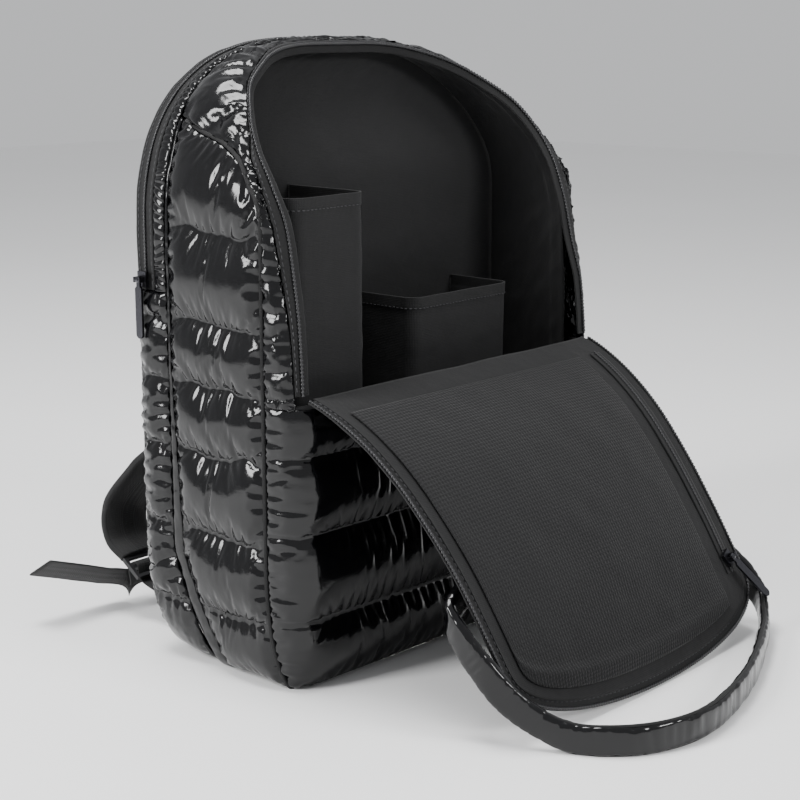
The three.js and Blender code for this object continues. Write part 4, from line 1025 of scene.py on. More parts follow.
class Inflation:
    """Blows all quilted sheets up together in Blender's Cloth, as loose cloth held out by pressure.

    Near a seam each sheet has SEAM_GROWTH more cloth than elsewhere, which gathers it. With this PRESSURE and
    POINT_MASS the channels are full after FRAMES steps.
    """

    FRAMES = 26
    PRESSURE = 1600.0
    POINT_MASS = 0.05
    SEAM_GROWTH = 0.05
    DEEPEST_DIP = 0.4

    def __init__(self) -> None:
        """Starts with no sheets."""
        self.sheets: list[Puff] = []

    def add(self, sheet: Puff) -> None:
        """Adds a sheet with its Cloth modifier in front of its wall.

        Args:
            sheet: The sheet and how it is blown up.
        """
        self.sheets.append(sheet)
        piece = sheet.piece
        seams = piece.vertex_groups.new(name="seams")
        seams.add(np.flatnonzero(sheet.pinned).tolist(), 1.0, "REPLACE")
        extra = piece.vertex_groups.new(name="gathered")
        for level in range(1, 11):
            near = np.flatnonzero(np.round(sheet.gathered * 10) == level)
            extra.add(near.tolist(), level / 10, "REPLACE")
        for wall in piece.modifiers:
            wall.show_viewport = False
        cloth = piece.modifiers.new("Puff", "CLOTH")
        settings = cloth.settings
        settings.quality = 5
        settings.mass = self.POINT_MASS
        settings.air_damping = 4.0
        settings.tension_stiffness = 30.0
        settings.compression_stiffness = 30.0
        settings.shear_stiffness = 12.0
        settings.bending_stiffness = 0.08
        settings.vertex_group_mass = "seams"
        settings.vertex_group_shrink = "gathered"
        settings.shrink_min = -sheet.growth
        settings.shrink_max = -sheet.growth - self.SEAM_GROWTH
        settings.use_pressure = True
        settings.uniform_pressure_force = self.PRESSURE
        settings.effector_weights.gravity = 0.0
        cloth.point_cache.frame_start = 1
        cloth.point_cache.frame_end = self.FRAMES

    def run(self) -> None:
        """Steps all sheets together, then keeps each result, with its rise capped."""
        scene = bpy.context.scene
        for step in range(1, self.FRAMES + 1):
            scene.frame_set(step)
        graph = bpy.context.evaluated_depsgraph_get()
        results = []
        for sheet in self.sheets:
            points = np.zeros(len(sheet.start) * 3, np.float32)
            sheet.piece.evaluated_get(graph).data.vertices.foreach_get("co", points)
            results.append(points.reshape(-1, 3).astype(float) / METRES)
        for sheet, blown in zip(self.sheets, results):
            piece = sheet.piece
            piece.modifiers.remove(piece.modifiers["Puff"])
            piece.vertex_groups.clear()
            for wall in piece.modifiers:
                wall.show_viewport = True
            move = blown - sheet.start
            rise = np.sum(move * sheet.normal, axis=1, keepdims=True)
            kept = move + sheet.normal * (np.clip(rise, -self.DEEPEST_DIP, sheet.most) - rise)
            final = sheet.start + kept
            final[:, 2] = np.maximum(final[:, 2], FLOOR_GAP)
            piece.data.vertices.foreach_set("co", (final * METRES).astype(np.float32).ravel())
            piece.data.update()
            LOG.info("%s: rises %.1f mm", piece.name, float(rise.max()))
        scene.frame_set(1)


def quilted_sheet(
    node: str,
    finish: Material,
    surface: Grid,
    outside: Grid,
    puff: Grid,
    pinned: Grid,
    blow: Inflation,
    growth: float,
    most: float,
    seed: int,
) -> None:
    """A quilted panel's outer cloth: its seam surface raised by a first puff with puckers, then blown up.

    Args:
        node: The CAD node that it replaces.
        finish: Its material.
        surface: Seam surface, rows by columns by three.
        outside: Directions that the outer face looks in.
        puff: Height of the channels over the seam surface.
        pinned: True at the seams.
        blow: The inflation that it joins.
        growth: How much more cloth there is than seam, as a share.
        most: Cap on the rise.
        seed: Seed of its small unevenness.
    """
    normal = surface_normals(surface, outside)
    u, v = running_length(surface, 1), running_length(surface, 0)
    loose = np.where(pinned, 0.0, 1.0)
    # Seeds are set apart, so that no two patterns of a sheet are alike.
    uneven = 0.2 * cloth_noise(u, v, 8.0, seed) + 0.5 * cloth_noise(u, v, 20.0, seed + 9)
    from_sides = np.minimum(u, u[:, -1:] - u)
    seam_rows = np.flatnonzero(pinned[:, pinned.shape[1] // 2])
    from_rows = np.abs(v[:, :, None] - v[seam_rows].T[None]).min(-1)
    uneven = uneven + 1.1 * gathers(v, from_sides, 9.0, 11.0, seed + 20) * np.clip(from_rows / 5, 0, 1)
    uneven = uneven + 0.7 * gathers(u, from_rows, 8.0, 8.0, seed + 30) * np.clip(from_sides / 5, 0, 1)
    # Otherwise the cloth starts at about half of it.
    share = 0.55
    height = puff * share * (1 + 0.25 * cloth_noise(u, v, 30.0, seed + 3)) + uneven * loose
    raised = surface + normal * height[..., None]
    raised[..., 2] = np.maximum(raised[..., 2], FLOOR_GAP)
    piece = cloth_sheet(f"{node}_cloth", raised, outside, B.seam_wall)
    gathered = np.exp(-np.minimum(from_sides, from_rows) / 7)
    blow.add(Puff(
        piece, pinned.ravel(), gathered.ravel(), growth, most, raised.reshape(-1, 3), normal.reshape(-1, 3),
    ))
    dress(piece, finish, [node])


@dataclass
class QuiltedShell:
    """The body's quilted outside: side panels, rear strips, gussets, ruched strip, border and front panel."""

    wardrobe: Wardrobe
    blow: Inflation
    puff: float = 5.0
    cell_mm: float = 1.9
    corner_depth: float = 123.0

    def side_rows(self, top: float) -> tuple[Grid, Grid, Grid]:
        """Rows of a side piece with a row on each quilting seam.

        Args:
            top: Station of the last row.

        Returns:
            The rows' stations, each row's share of its channel, and whether it is a seam.
        """
        quilts = station_at(np.array(B.side_quilts) * B.height)
        seams = [station for station in (FLOOR, *quilts) if station < top - 0.02] + [top]
        lengths = np.diff(height_of(np.array(seams)))
        counts = [max(6, int(length / self.cell_mm)) for length in lengths]
        rows = steps_between(seams, counts)
        share = channel_shares(counts)
        return rows, share, nearest_stop(rows, seams)

    def side_panel(self, side: int) -> None:
        """One side panel, from the gusset to the front corner's seam, up to its curved top edge.

        Args:
            side: 0 for the left and 1 for the right.
        """
        last, run = float(station_at(B.side_quilts[-1] * B.height)), 0.4
        rows, share, seams = self.side_rows(last + run)
        columns = np.linspace(0, 1, 56)
        r, c = grid(rows, columns)
        level = np.where(r <= last, r, lerp(last, side_top(B.rear_seam), (r - last) / run))
        depth = lerp(gusset_seam(level) + B.gap / 2, front_seam(level) - B.gap / 2, c)
        top = side_top(depth) - 0.003
        station = np.where(r <= last, r, lerp(last, top, (r - last) / run))
        free = (r > 0.05) * (r < last + 0.39)
        wander = 0.014 * cloth_noise(depth, rows[:, None] * 90, 16.0, 31 + side)
        station = station + wander * channel(c) * free
        surface = shell_point(on_side(station, side), depth)
        height = self.puff * channel(share[:, None]) * channel(c, 0.35)
        height = height * np.clip(height_of(station) / 8, 0, 1)
        pinned = seams[:, None] | on_edges(c)
        quilted_sheet(
            f"side_panel_{SIDES[side]}", self.wardrobe.puffer, surface, from_middle(surface), height, pinned,
            self.blow, growth=0.045, most=8.5, seed=40 + side,
        )

    def rear_strip(self, side: int) -> None:
        """The strip under one end of the main zip.

        Args:
            side: 0 for the left and 1 for the right.
        """
        rows, share, seams = self.side_rows(float(station_at(B.main_zip_end)))
        columns = np.linspace(0, 1, 22)
        r, c = grid(rows, columns)
        depth = lerp(rear_edge(r) + B.gap / 2, rear_seam(r) - B.gap / 2, c)
        surface = shell_point(on_side(r, side), depth)
        height = 0.8 * self.puff * channel(share[:, None]) * channel(c, 0.5)
        height = height * np.clip(height_of(r) / 8, 0, 1)
        pinned = seams[:, None] | on_edges(c)
        quilted_sheet(
            f"rear_strip_{SIDES[side]}", self.wardrobe.crumpled, surface, from_middle(surface), height, pinned,
            self.blow, growth=0.06, most=6.5, seed=50 + side,
        )

    def gusset(self, side: int) -> None:
        """The narrow seam strip between rear strip and side panel, an uneven low fold.

        Args:
            side: 0 for the left and 1 for the right.
        """
        top = float(side_top(B.rear_seam)) - 0.003
        rows = np.linspace(FLOOR, top, 190)
        columns = np.linspace(0, 1, 9)
        r, c = grid(rows, columns)
        depth = lerp(rear_seam(r) + B.gap / 2, gusset_seam(r) - B.gap / 2, c)
        surface = shell_point(on_side(r, side), depth)
        along = running_length(surface, 0)
        height = (0.9 + 0.5 * cloth_noise(along, c * 4, 5.0, 60 + side)) * channel(c, 0.5)
        raised = surface + surface_normals(surface, from_middle(surface)) * height[..., None]
        raised[..., 2] = np.maximum(raised[..., 2], FLOOR_SKIN)
        piece = cloth_sheet(f"seam_gusset_{SIDES[side]}_cloth", raised, from_middle(surface), B.cloth)
        dress(piece, self.wardrobe.crumpled, [f"seam_gusset_{SIDES[side]}"])

    def binding(self, side: int) -> None:
        """The matte binding tape folded over the seam up the front corner and round the side panel's top.

        Args:
            side: 0 for the left and 1 for the right.
        """
        rows = np.linspace(0.06, float(side_top(B.rear_seam)) - 0.01, 260)
        depth = np.where(rows < float(side_top(B.front_seam)), front_seam(rows), border_seam(rows))
        line = shell_point(on_side(rows, side), depth, -B.gap)
        tangent, out = tangents_of(line), from_middle(line)
        rings = band_rings(line, tangent, out, width=2.2, thickness=2.8, sides=10, roundness=0.9)
        rings[..., 2] = np.maximum(rings[..., 2], FLOOR_SKIN)
        piece = tube(f"corner_binding_{SIDES[side]}", rings, cloth_width=8.0)
        dress(piece, self.wardrobe.tape)

    def hinge_binding(self) -> None:
        """The binding tape along the front panel's upper edge, from one corner seam to the other."""
        share = np.linspace(-0.99, 0.99, 300)
        row = np.full_like(share, float(station_at(B.hinge - B.seam_wall - 2.4)))
        line = front_surface(share, row)
        tangent = tangents_of(line)
        rings = band_rings(line, tangent, UPWARDS, width=2.8, thickness=2.4, sides=10, roundness=0.9)
        dress(tube("hinge_binding", rings, cloth_width=8.0), self.wardrobe.tape)

    def ruched_strip(self) -> None:
        """The gathered strip beside the main zip: many small folds across it, like a drawn-up ribbon."""
        stations = arch_stations(B.main_zip_end + 0.2, 700)
        columns = np.linspace(0, 1, 12)
        r, c = grid(stations, columns)
        depth = lerp(zip_seam(r) + B.gap / 2, rear_seam(r) - B.gap / 2, c)
        surface = shell_point(r, depth)
        along = running_length(surface, 0)
        fold = np.abs(np.sin(math.pi * along / 5.2 + 2.4 * cloth_noise(along, c * 6, 9.0, 71)))
        height = (1.1 + 1.7 * fold * (0.7 + 0.3 * cloth_noise(along, c * 9, 6.0, 72))) * channel(c, 0.45)
        raised = surface + surface_normals(surface, from_middle(surface)) * height[..., None]
        piece = cloth_sheet("ruched_strip_cloth", raised, from_middle(surface), B.cloth)
        dress(piece, self.wardrobe.crumpled, ["ruched_strip"])

    def front_border(self) -> None:
        """The padded border round the opening, gathered along its outer seam."""
        start = B.hinge - B.seam_wall - 3.2
        heights = np.array([start, *np.array(B.border_quilts) * B.height])
        left = station_at(heights).tolist()
        stops = [*left, MIDDLE, *[LAST - station for station in reversed(left)]]
        left_counts = [20, 19, 28, 26, 120]
        counts = [*left_counts, *reversed(left_counts)]
        stations = steps_between(stops, counts)
        share = channel_shares(counts)
        columns = np.linspace(0, 1, 34)
        r, c = grid(stations, columns)
        length = border_width(r)
        edge = B.gap / (length + 1)
        surface = opening_point(r, lerp(edge, tape_share(r) - edge, c))
        pinch = 0.55 + 0.45 * channel(share[:, None])
        height = 0.6 * self.puff * channel(c) * pinch * np.clip(length / 30, 0.25, 1)
        on_seam = nearest_stop(stations, stops)[:, None] & (np.abs(r - MIDDLE) > 0.1)
        pinned = (on_seam & (c < 0.7)) | on_edges(c)
        pinned[[0, -1]] = True
        quilted_sheet(
            "front_border", self.wardrobe.crumpled, surface, from_middle(surface), height, pinned,
            self.blow, growth=0.08, most=6.5, seed=80,
        )

    def front_panel(self) -> None:
        """The front lower panel, from one corner seam round the front to the other."""
        top = float(station_at(B.hinge - B.seam_wall - 2.7))
        seams = [FLOOR, *[float(s) for s in station_at(np.array(B.front_quilts) * B.height)], top]
        counts = [26, 27, 26, 17]
        rows = steps_between(seams, counts)
        share = channel_shares(counts)
        half = np.concatenate([np.linspace(0, 0.8, 68, endpoint=False), np.linspace(0.8, 1, 19)])
        columns = np.concatenate([-half[:0:-1], half])
        r, c = grid(rows, columns)
        surface = front_surface(c, r)
        height = (self.puff - 1) * channel(share[:, None]) * (1 - np.abs(c) ** 8)
        height = height * np.clip(height_of(r) / 8, 0, 1)
        pinned = nearest_stop(rows, seams)[:, None] | (np.abs(c) > 1 - 1e-6)
        outside = np.array([0.0, -1.0, 0.0]) + from_middle(surface) * 0.002
        quilted_sheet(
            "front_panel", self.wardrobe.puffer, surface, outside, height, pinned,
            self.blow, growth=0.045, most=7.5, seed=90,
        )

    def base(self) -> None:
        """The flat padded base: straight rows between the lower edges of the panels."""
        front = B.depth - B.front_tuck - 3
        straight = np.linspace(B.rear_tuck + 1, self.corner_depth, 40)
        rounded = np.linspace(self.corner_depth, front - 0.2, 16)
        depth = np.concatenate([straight, rounded[1:]])
        half = -shell_point(FLOOR, np.minimum(depth, self.corner_depth))[:, 0] - 0.9
        corner = np.clip((depth - self.corner_depth) / (front - self.corner_depth), 0, 1)
        half = half - 1.2 * (corner > 0) - B.front_corner * (1 - np.sqrt(np.maximum(1 - corner**2, 0)))
        c = np.linspace(-1, 1, 25)
        x, y = c[None] * half[:, None], (REAR_Y - depth)[:, None]
        points = np.stack(np.broadcast_arrays(x, y, FLOOR_SKIN), -1)
        piece = cloth_sheet("base_panel_cloth", points, np.array([0.0, 0.0, -1.0]), B.floor_wall - 0.2)
        dress(piece, self.wardrobe.webbing, ["base_panel"])

    def back(self) -> None:
        """The padded back: three sewn pads side by side inside the arch."""
        lowest = float(station_at(B.floor_wall + 3))
        rows, columns = np.linspace(lowest, CROWN, 105), np.linspace(-1, 1, 81)
        r, c = grid(rows, columns)
        margin = B.seam_wall + B.gap * 1.5 + B.seam_wall * tuck_share(r)
        edge = shell_point(r, rear_edge(r), margin)
        rise = channel((r - lowest) / (CROWN - lowest), 0.3)
        pads = 0.35 + 0.65 * channel((np.abs(c) * 1.5 + 0.5) % 1, 0.35)
        y = edge[..., 1] + B.back_fullness * (1 - c**4) * rise * pads
        points = np.stack([np.abs(edge[..., 0]) * c, y, edge[..., 2]], -1)
        piece = cloth_sheet("back_panel_cloth", points, np.array([0.0, 1.0, 0.0]), B.back_wall)
        dress(piece, self.wardrobe.lining, ["back_panel"])

    def build(self) -> None:
        """Builds every quilted piece."""
        for side in (0, 1):
            self.side_panel(side)
            self.rear_strip(side)
            self.gusset(side)
            self.binding(side)
        self.ruched_strip()
        self.front_border()
        self.front_panel()
        self.hinge_binding()
        self.base()
        self.back()


def front_surface(share: Grid, row: Grid) -> Grid:
    """Seam surface of the front panel: a bowed front with round corners that run back to the corner seams.

    Args:
        share: -1 at the left corner seam and 1 at the right one.
        row: Station of the row.

    Returns:
        The points.
    """
    edge = shell_point(row, front_seam(row) + B.gap / 2)
    half = np.abs(edge[..., 0])
    front = FRONT_Y + B.front_tuck * tuck_share(row) ** 3
    flat, size = half - B.front_corner, np.abs(share)
    along, angle = np.minimum(size / 0.8, 1), np.clip((size - 0.8) / 0.2, 0, 1) * RIGHT_ANGLE
    x = np.sign(share) * (flat * along + B.front_corner * np.sin(angle))
    y = front - B.front_bow * (1 - along**2) + (edge[..., 1] - front) * (1 - np.cos(angle))
    return np.stack([x, y, edge[..., 2]], -1)


def arch_stations(height: float, count: int) -> Grid:
    """Stations at even distances over the arch, from a height on the left to the same on the right.

    Args:
        height: Height of both ends.
        count: How many stations, about.

    Returns:
        The stations.
    """
    fine = np.linspace(float(station_at(height)), MIDDLE, 2000)
    length = line_length(shell_point(fine, 0.0))
    left = np.interp(np.linspace(0, length[-1], count // 2), length, fine)
    return np.concatenate([left, LAST - left[-2::-1]])


def coil_rings(
    line: Grid, normal: Grid, radius: float, pitch: float, per_tooth: int = 4, sides: int = 7
) -> Grid:
    """Rings of a zip coil: a tube whose radius swells once for each turn of the coil.

    Args:
        line: Points of the coil's line.
        normal: Directions out of the tape along it.
        radius: Radius.
        pitch: Length of a turn.
        per_tooth: Rings for each turn.
        sides: Points round the tube.

    Returns:
        Rings, steps by sides by three.
    """
    length = line_length(line)
    steps = int(length[-1] / pitch) * per_tooth
    at = np.linspace(0, length[-1], steps)
    centre, out = at_lengths(at, length, line), at_lengths(at, length, normal)
    swell = radius * (0.72 + 0.28 * np.cos(2 * math.pi * np.arange(steps) / per_tooth))
    return band_rings(centre, tangents_of(centre), out, swell * 2, swell * 2.6, sides, roundness=1.0)


@dataclass
class Zips:
    """Zip tapes with their coils: the main zip, the opening's zip and the pullers' hardware.

    A real coil of this size turns once in about 1.3 mm. It is drawn coarser, so that its turns show.
    """

    wardrobe: Wardrobe
    tape_wall: float = 1.0
    coil_radius: float = 1.1
    coil_pitch: float = 2.4
    coil_girth: float = 7.0
    hardware_edge: float = 0.3

    def main_zip(self) -> None:
        """Tape over the arch with a closed coil along its middle, sunk between two low edges."""
        stations, columns = arch_stations(B.main_zip_end + 0.2, 460), np.linspace(0, 1, 15)
        r, c = grid(stations, columns)
        depth = lerp(rear_edge(r) + B.gap / 2, zip_seam(r) - B.gap / 2, c)
        surface = shell_point(r, depth)
        along = running_length(surface, 0)
        height = 0.9 * np.exp(-(((c - 0.06) / 0.08) ** 2)) + 0.7 * np.exp(-(((c - 0.94) / 0.07) ** 2))
        height = height + 0.25 * cloth_noise(along, c * 12, 9.0, 101)
        normal = surface_normals(surface, from_middle(surface))
        raised = surface + normal * height[..., None]
        piece = cloth_sheet("main_zip_tape", raised, from_middle(surface), self.tape_wall)
        dress(piece, self.wardrobe.tape, ["main_zip"])
        middle = len(columns) // 2
        self.coil("main_zip_coil", surface[:, middle] + normal[:, middle] * 0.7, normal[:, middle])
        for edge, column in (("rear", 2), ("front", 12)):
            line, out = raised[:, column], normal[:, column]
            stitch_row(f"main_zip_stitches_{edge}", line, out, self.wardrobe.thread)

    def coil(self, name: str, line: Grid, out: Grid) -> None:
        """A coil along a line of the tape, out being the directions away from it."""
        rings = coil_rings(line, out, self.coil_radius, self.coil_pitch)
        dress(tube(name, rings, self.coil_girth), self.wardrobe.nylon)

    def opening_zip(self) -> None:
        """Tape along the opening with one half of the coil on it and a stitched edge outside the coil."""
        stations, columns = arch_stations(B.hinge + 3, 560), np.linspace(0, 2, 17)
        r, c = grid(stations, columns)
        share = lerp(tape_share(r) + 0.03, 1.0, np.minimum(c, 1))
        surface = opening_point(r, share, np.maximum(c - 1, 0) * B.tape_inside)
        outwards = from_middle(surface) * np.array([1.0, 1.6, 1.0]) - np.array([0.0, 60.0, 0.0])
        normal = surface_normals(surface, outwards)
        along = running_length(surface, 0)
        height = 0.5 * np.exp(-(((c - 0.08) / 0.1) ** 2)) + 0.3 * cloth_noise(along, c * 8, 11.0, 111)
        raised = surface + normal * height[..., None]
        piece = cloth_sheet("opening_zip_tape_cloth", raised, normal, self.tape_wall)
        dress(piece, self.wardrobe.tape, ["opening_zip_tape"])
        middle = len(columns) // 2
        self.coil("opening_zip_coil", surface[:, middle] + normal[:, middle] * 0.9, normal[:, middle])
        stitch_row("opening_zip_stitches", raised[:, 2], normal[:, 2], self.wardrobe.thread)

    def hardware(self) -> None:
        """Sliders and pullers keep their own solids and get a bevel and the plated finish."""
        for name in ("main_zip_slider", "main_zip_puller", "pocket_zip_slider", "pocket_zip_puller"):
            polish(name, self.wardrobe.plating, self.hardware_edge)

    def build(self) -> None:
        """Builds the zips of the body."""
        self.main_zip()
        self.opening_zip()
        self.hardware()


def stitch_row(
    name: str, line: Grid, out: Grid, finish: Material, pitch: float = 4.2
) -> None:
    """A row of stitches: short threads with thin ends, one behind the other on a line.

    Args:
        name: Name of the row.
        line: Points of the line on the cloth, n by 3.
        out: Directions out of the cloth along it.
        finish: The thread's material.
        pitch: Distance from stitch to stitch.
    """
    length = line_length(line)
    at = np.arange(pitch, length[-1] - pitch, pitch)
    centre, up = at_lengths(at, length, line), at_lengths(at, length, out)
    tangent = unit(at_lengths(at + 0.5, length, line) - centre)
    up = unit(up - np.sum(up * tangent, axis=1, keepdims=True) * tangent)
    across = np.cross(tangent, up)
    place = np.array([-0.36, -0.2, 0.2, 0.36]) * pitch
    size = np.array([0.35, 1.0, 1.0, 0.35]) * THREAD / 2
    corner = np.array([[1.0, 1.0], [-1.0, 1.0], [-1.0, -1.0], [1.0, -1.0]])
    points = (
        centre[:, None, None]
        + tangent[:, None, None] * place[None, :, None, None]
        + across[:, None, None] * (size[:, None] * corner[:, 0])[None, ..., None]
        + up[:, None, None] * (size[:, None] * corner[:, 1])[None, ..., None]
    )
    index = np.arange(16).reshape(4, 4)
    around = np.roll(index, -1, axis=1)
    walls = np.stack([index[:-1], index[1:], around[1:], around[:-1]], -1).reshape(-1, 4)
    faces = np.concatenate([walls, index[:1], index[-1:, ::-1]])
    every = (faces[None] + 16 * np.arange(len(at))[:, None, None]).reshape(-1, 4)
    dress(mesh_object(name, points.reshape(-1, 3), every, None), finish)


def polish(name: str, finish: Material, edge_mm: float) -> None:
    """Gives a CAD node its finish and softened edges.

    Args:
        name: The node.
        finish: Its material.
        edge_mm: Width of the softened edge.
    """
    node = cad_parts[name]
    node.data.materials.clear()
    node.data.materials.append(finish)
    edge = node.modifiers.new("Edge", "BEVEL")
    edge.width = edge_mm * METRES
    edge.segments = 2
    edge.limit_method = "ANGLE"


@dataclass
class Compartment:
    """The open front compartment: divider, hood lining and the two bottle sleeves.

    A sleeve's row holds its left and right side as shares of the inner half width, its front as a share of
    the inner depth, its mouth as a share of the height, and its seed.
    """

    wardrobe: Wardrobe
    sleeve_corner: float = 10.0
    sleeve_wall: float = 1.5
    hem: float = 9.0
    hem_stitch: float = 3.4
    sleeves: tuple[tuple[str, float, float, float, float, int], ...] = (
        ("bottle_sleeve_left", -0.895, -0.44, 0.79, 0.763, 141),
        ("bottle_sleeve_right", -0.03, 0.69, 0.62, 0.571, 151),
    )

    def divider(self) -> None:
        """The wall between the compartments, hanging in slight upright folds."""
        lowest = float(station_at(B.floor_wall + 3))
        rows, columns = np.linspace(lowest, CROWN, 90), np.linspace(-1, 1, 60)
        r, c = grid(rows, columns)
        edge = shell_point(r, B.divider, B.lining_inset - B.cloth - 0.9)
        z = edge[..., 2]
        depth = lerp(B.divider, B.divider_crown, smoothstep(z, B.divider_lean, B.height))
        x = np.abs(edge[..., 0]) * c
        folds = 0.9 * cloth_noise(x, z * 0.4, 34.0, 121) + 0.5 * cloth_noise(x, z, 16.0, 122)
        folds = folds * (1 - np.abs(c) ** 6)
        points = np.stack([x, REAR_Y - depth - 0.3 + np.minimum(folds, 0.6), z], -1)
        piece = cloth_sheet("divider_cloth", points, np.array([0.0, -1.0, 0.0]), B.cloth)
        dress(piece, self.wardrobe.lining, ["divider"])

    def hood(self) -> None:
        """The compartment's side and top walls, from the divider out to the zip tape, with wavy creases."""
        start = float(station_at(B.floor_wall + 3))
        left = steps_between([start, SIDE, SHOULDER, MIDDLE], [15, 69, 109])
        stations = np.concatenate([left, LAST - left[-2::-1]])
        columns = np.linspace(0, 1, 32)
        r, c = grid(stations, columns)
        coil_depth, coil_inset = coil_line(r)
        edge = shell_point(r, B.divider, B.lining_inset - B.cloth)
        rear = lerp(B.divider, B.divider_crown, smoothstep(edge[..., 2], B.divider_lean, B.height)) - 0.5
        front = np.minimum(coil_depth - 4, B.front_seam + 6)
        inner = B.lining_inset - B.cloth
        inset = lerp(inner - 0.6, np.maximum(coil_inset + 1, inner), c**3)
        surface = shell_point(r, lerp(rear, front, c), inset)
        along = running_length(surface, 0)
        creases = 0.9 * cloth_noise(along, c * 20, 14.0, 131) + 0.5 * cloth_noise(along, c * 60, 8.0, 132)
        hem = 1.0 * np.exp(-(((c - 0.86) / 0.035) ** 2)) * (1 + 0.5 * cloth_noise(along, 0 * c, 7.0, 133))
        inward = -surface_normals(surface, from_middle(surface))
        raised = surface + inward * (creases * channel(c, 0.5) + hem)[..., None]
        piece = cloth_sheet("lining_hood_cloth", raised, inward, B.cloth * 0.8)
        dress(piece, self.wardrobe.lining, ["lining_hood"])

    def sleeve(
        self, name: str, left: float, right: float, front: float, top: float, seed: int
    ) -> None:
        """A bottle sleeve: a U in plan with round corners, slightly slack, with a folded hem round its mouth.

        Args:
            name: The CAD node.
            left: X of its left side.
            right: X of its right side.
            front: Y of its front.
            top: Height of its mouth.
            seed: Seed of its slack.
        """
        back, radius = REAR_Y - B.divider - B.gap, self.sleeve_corner
        turn = np.linspace(0, RIGHT_ANGLE, 9)
        cosine, sine = radius * np.cos(turn), radius * np.sin(turn)
        first = np.stack([left + radius - cosine, front + radius - sine], -1)
        second = np.stack([right - radius + sine, front + radius - cosine], -1)
        side_y = np.linspace(back, front + radius, 26)[:-1]
        flat_x = np.linspace(left + radius, right - radius, 30)[1:-1]
        plan = np.concatenate([
            np.stack([np.full_like(side_y, left), side_y], -1), first,
            np.stack([flat_x, np.full_like(flat_x, front)], -1), second,
            np.stack([np.full_like(side_y, right), side_y[::-1]], -1),
        ])
        z = steps_between([B.floor_wall + B.gap, top - self.hem, top], [59, 13])
        points = np.stack(np.broadcast_arrays(plan[None, :, 0], plan[None, :, 1], z[:, None]), -1)
        centre = np.array([(left + right) / 2, back, top / 2])
        outward = surface_normals(points, points - centre)
        along, up = running_length(points, 1), points[..., 2]
        slack = 0.7 * cloth_noise(along, up * 0.5, 22.0, seed) + 0.4 * cloth_noise(along, up, 11.0, seed + 1)
        free = channel(np.linspace(0, 1, len(plan)), 0.5)[None] * np.clip(up / 40, 0, 1)
        hem = 0.55 * (up > top - self.hem) * (1 - 0.8 * np.exp(-((up - top + self.hem) ** 2)))
        raised = points + outward * (np.clip(slack, -0.8, 0.8) * free + hem - 0.5)[..., None]
        piece = cloth_sheet(f"{name}_cloth", raised, outward, self.sleeve_wall * 0.8)
        row = int(np.argmin(np.abs(z - top + self.hem - 1.5)))
        stitch_row(f"{name}_hem_stitches", raised[row], outward[row], self.wardrobe.thread, self.hem_stitch)
        dress(piece, self.wardrobe.sleeve, [name])

    def build(self) -> None:
        """Builds the compartment, its sleeves placed by shares of the inner space as in the solids."""
        self.divider()
        self.hood()
        inner, back = B.half_width - B.lining_inset, REAR_Y - B.divider - B.gap
        reach = FRONT_Y + B.seam_wall - back
        for name, left, right, front, top, seed in self.sleeves:
            self.sleeve(name, left * inner, right * inner, back + front * reach, top * B.height, seed)


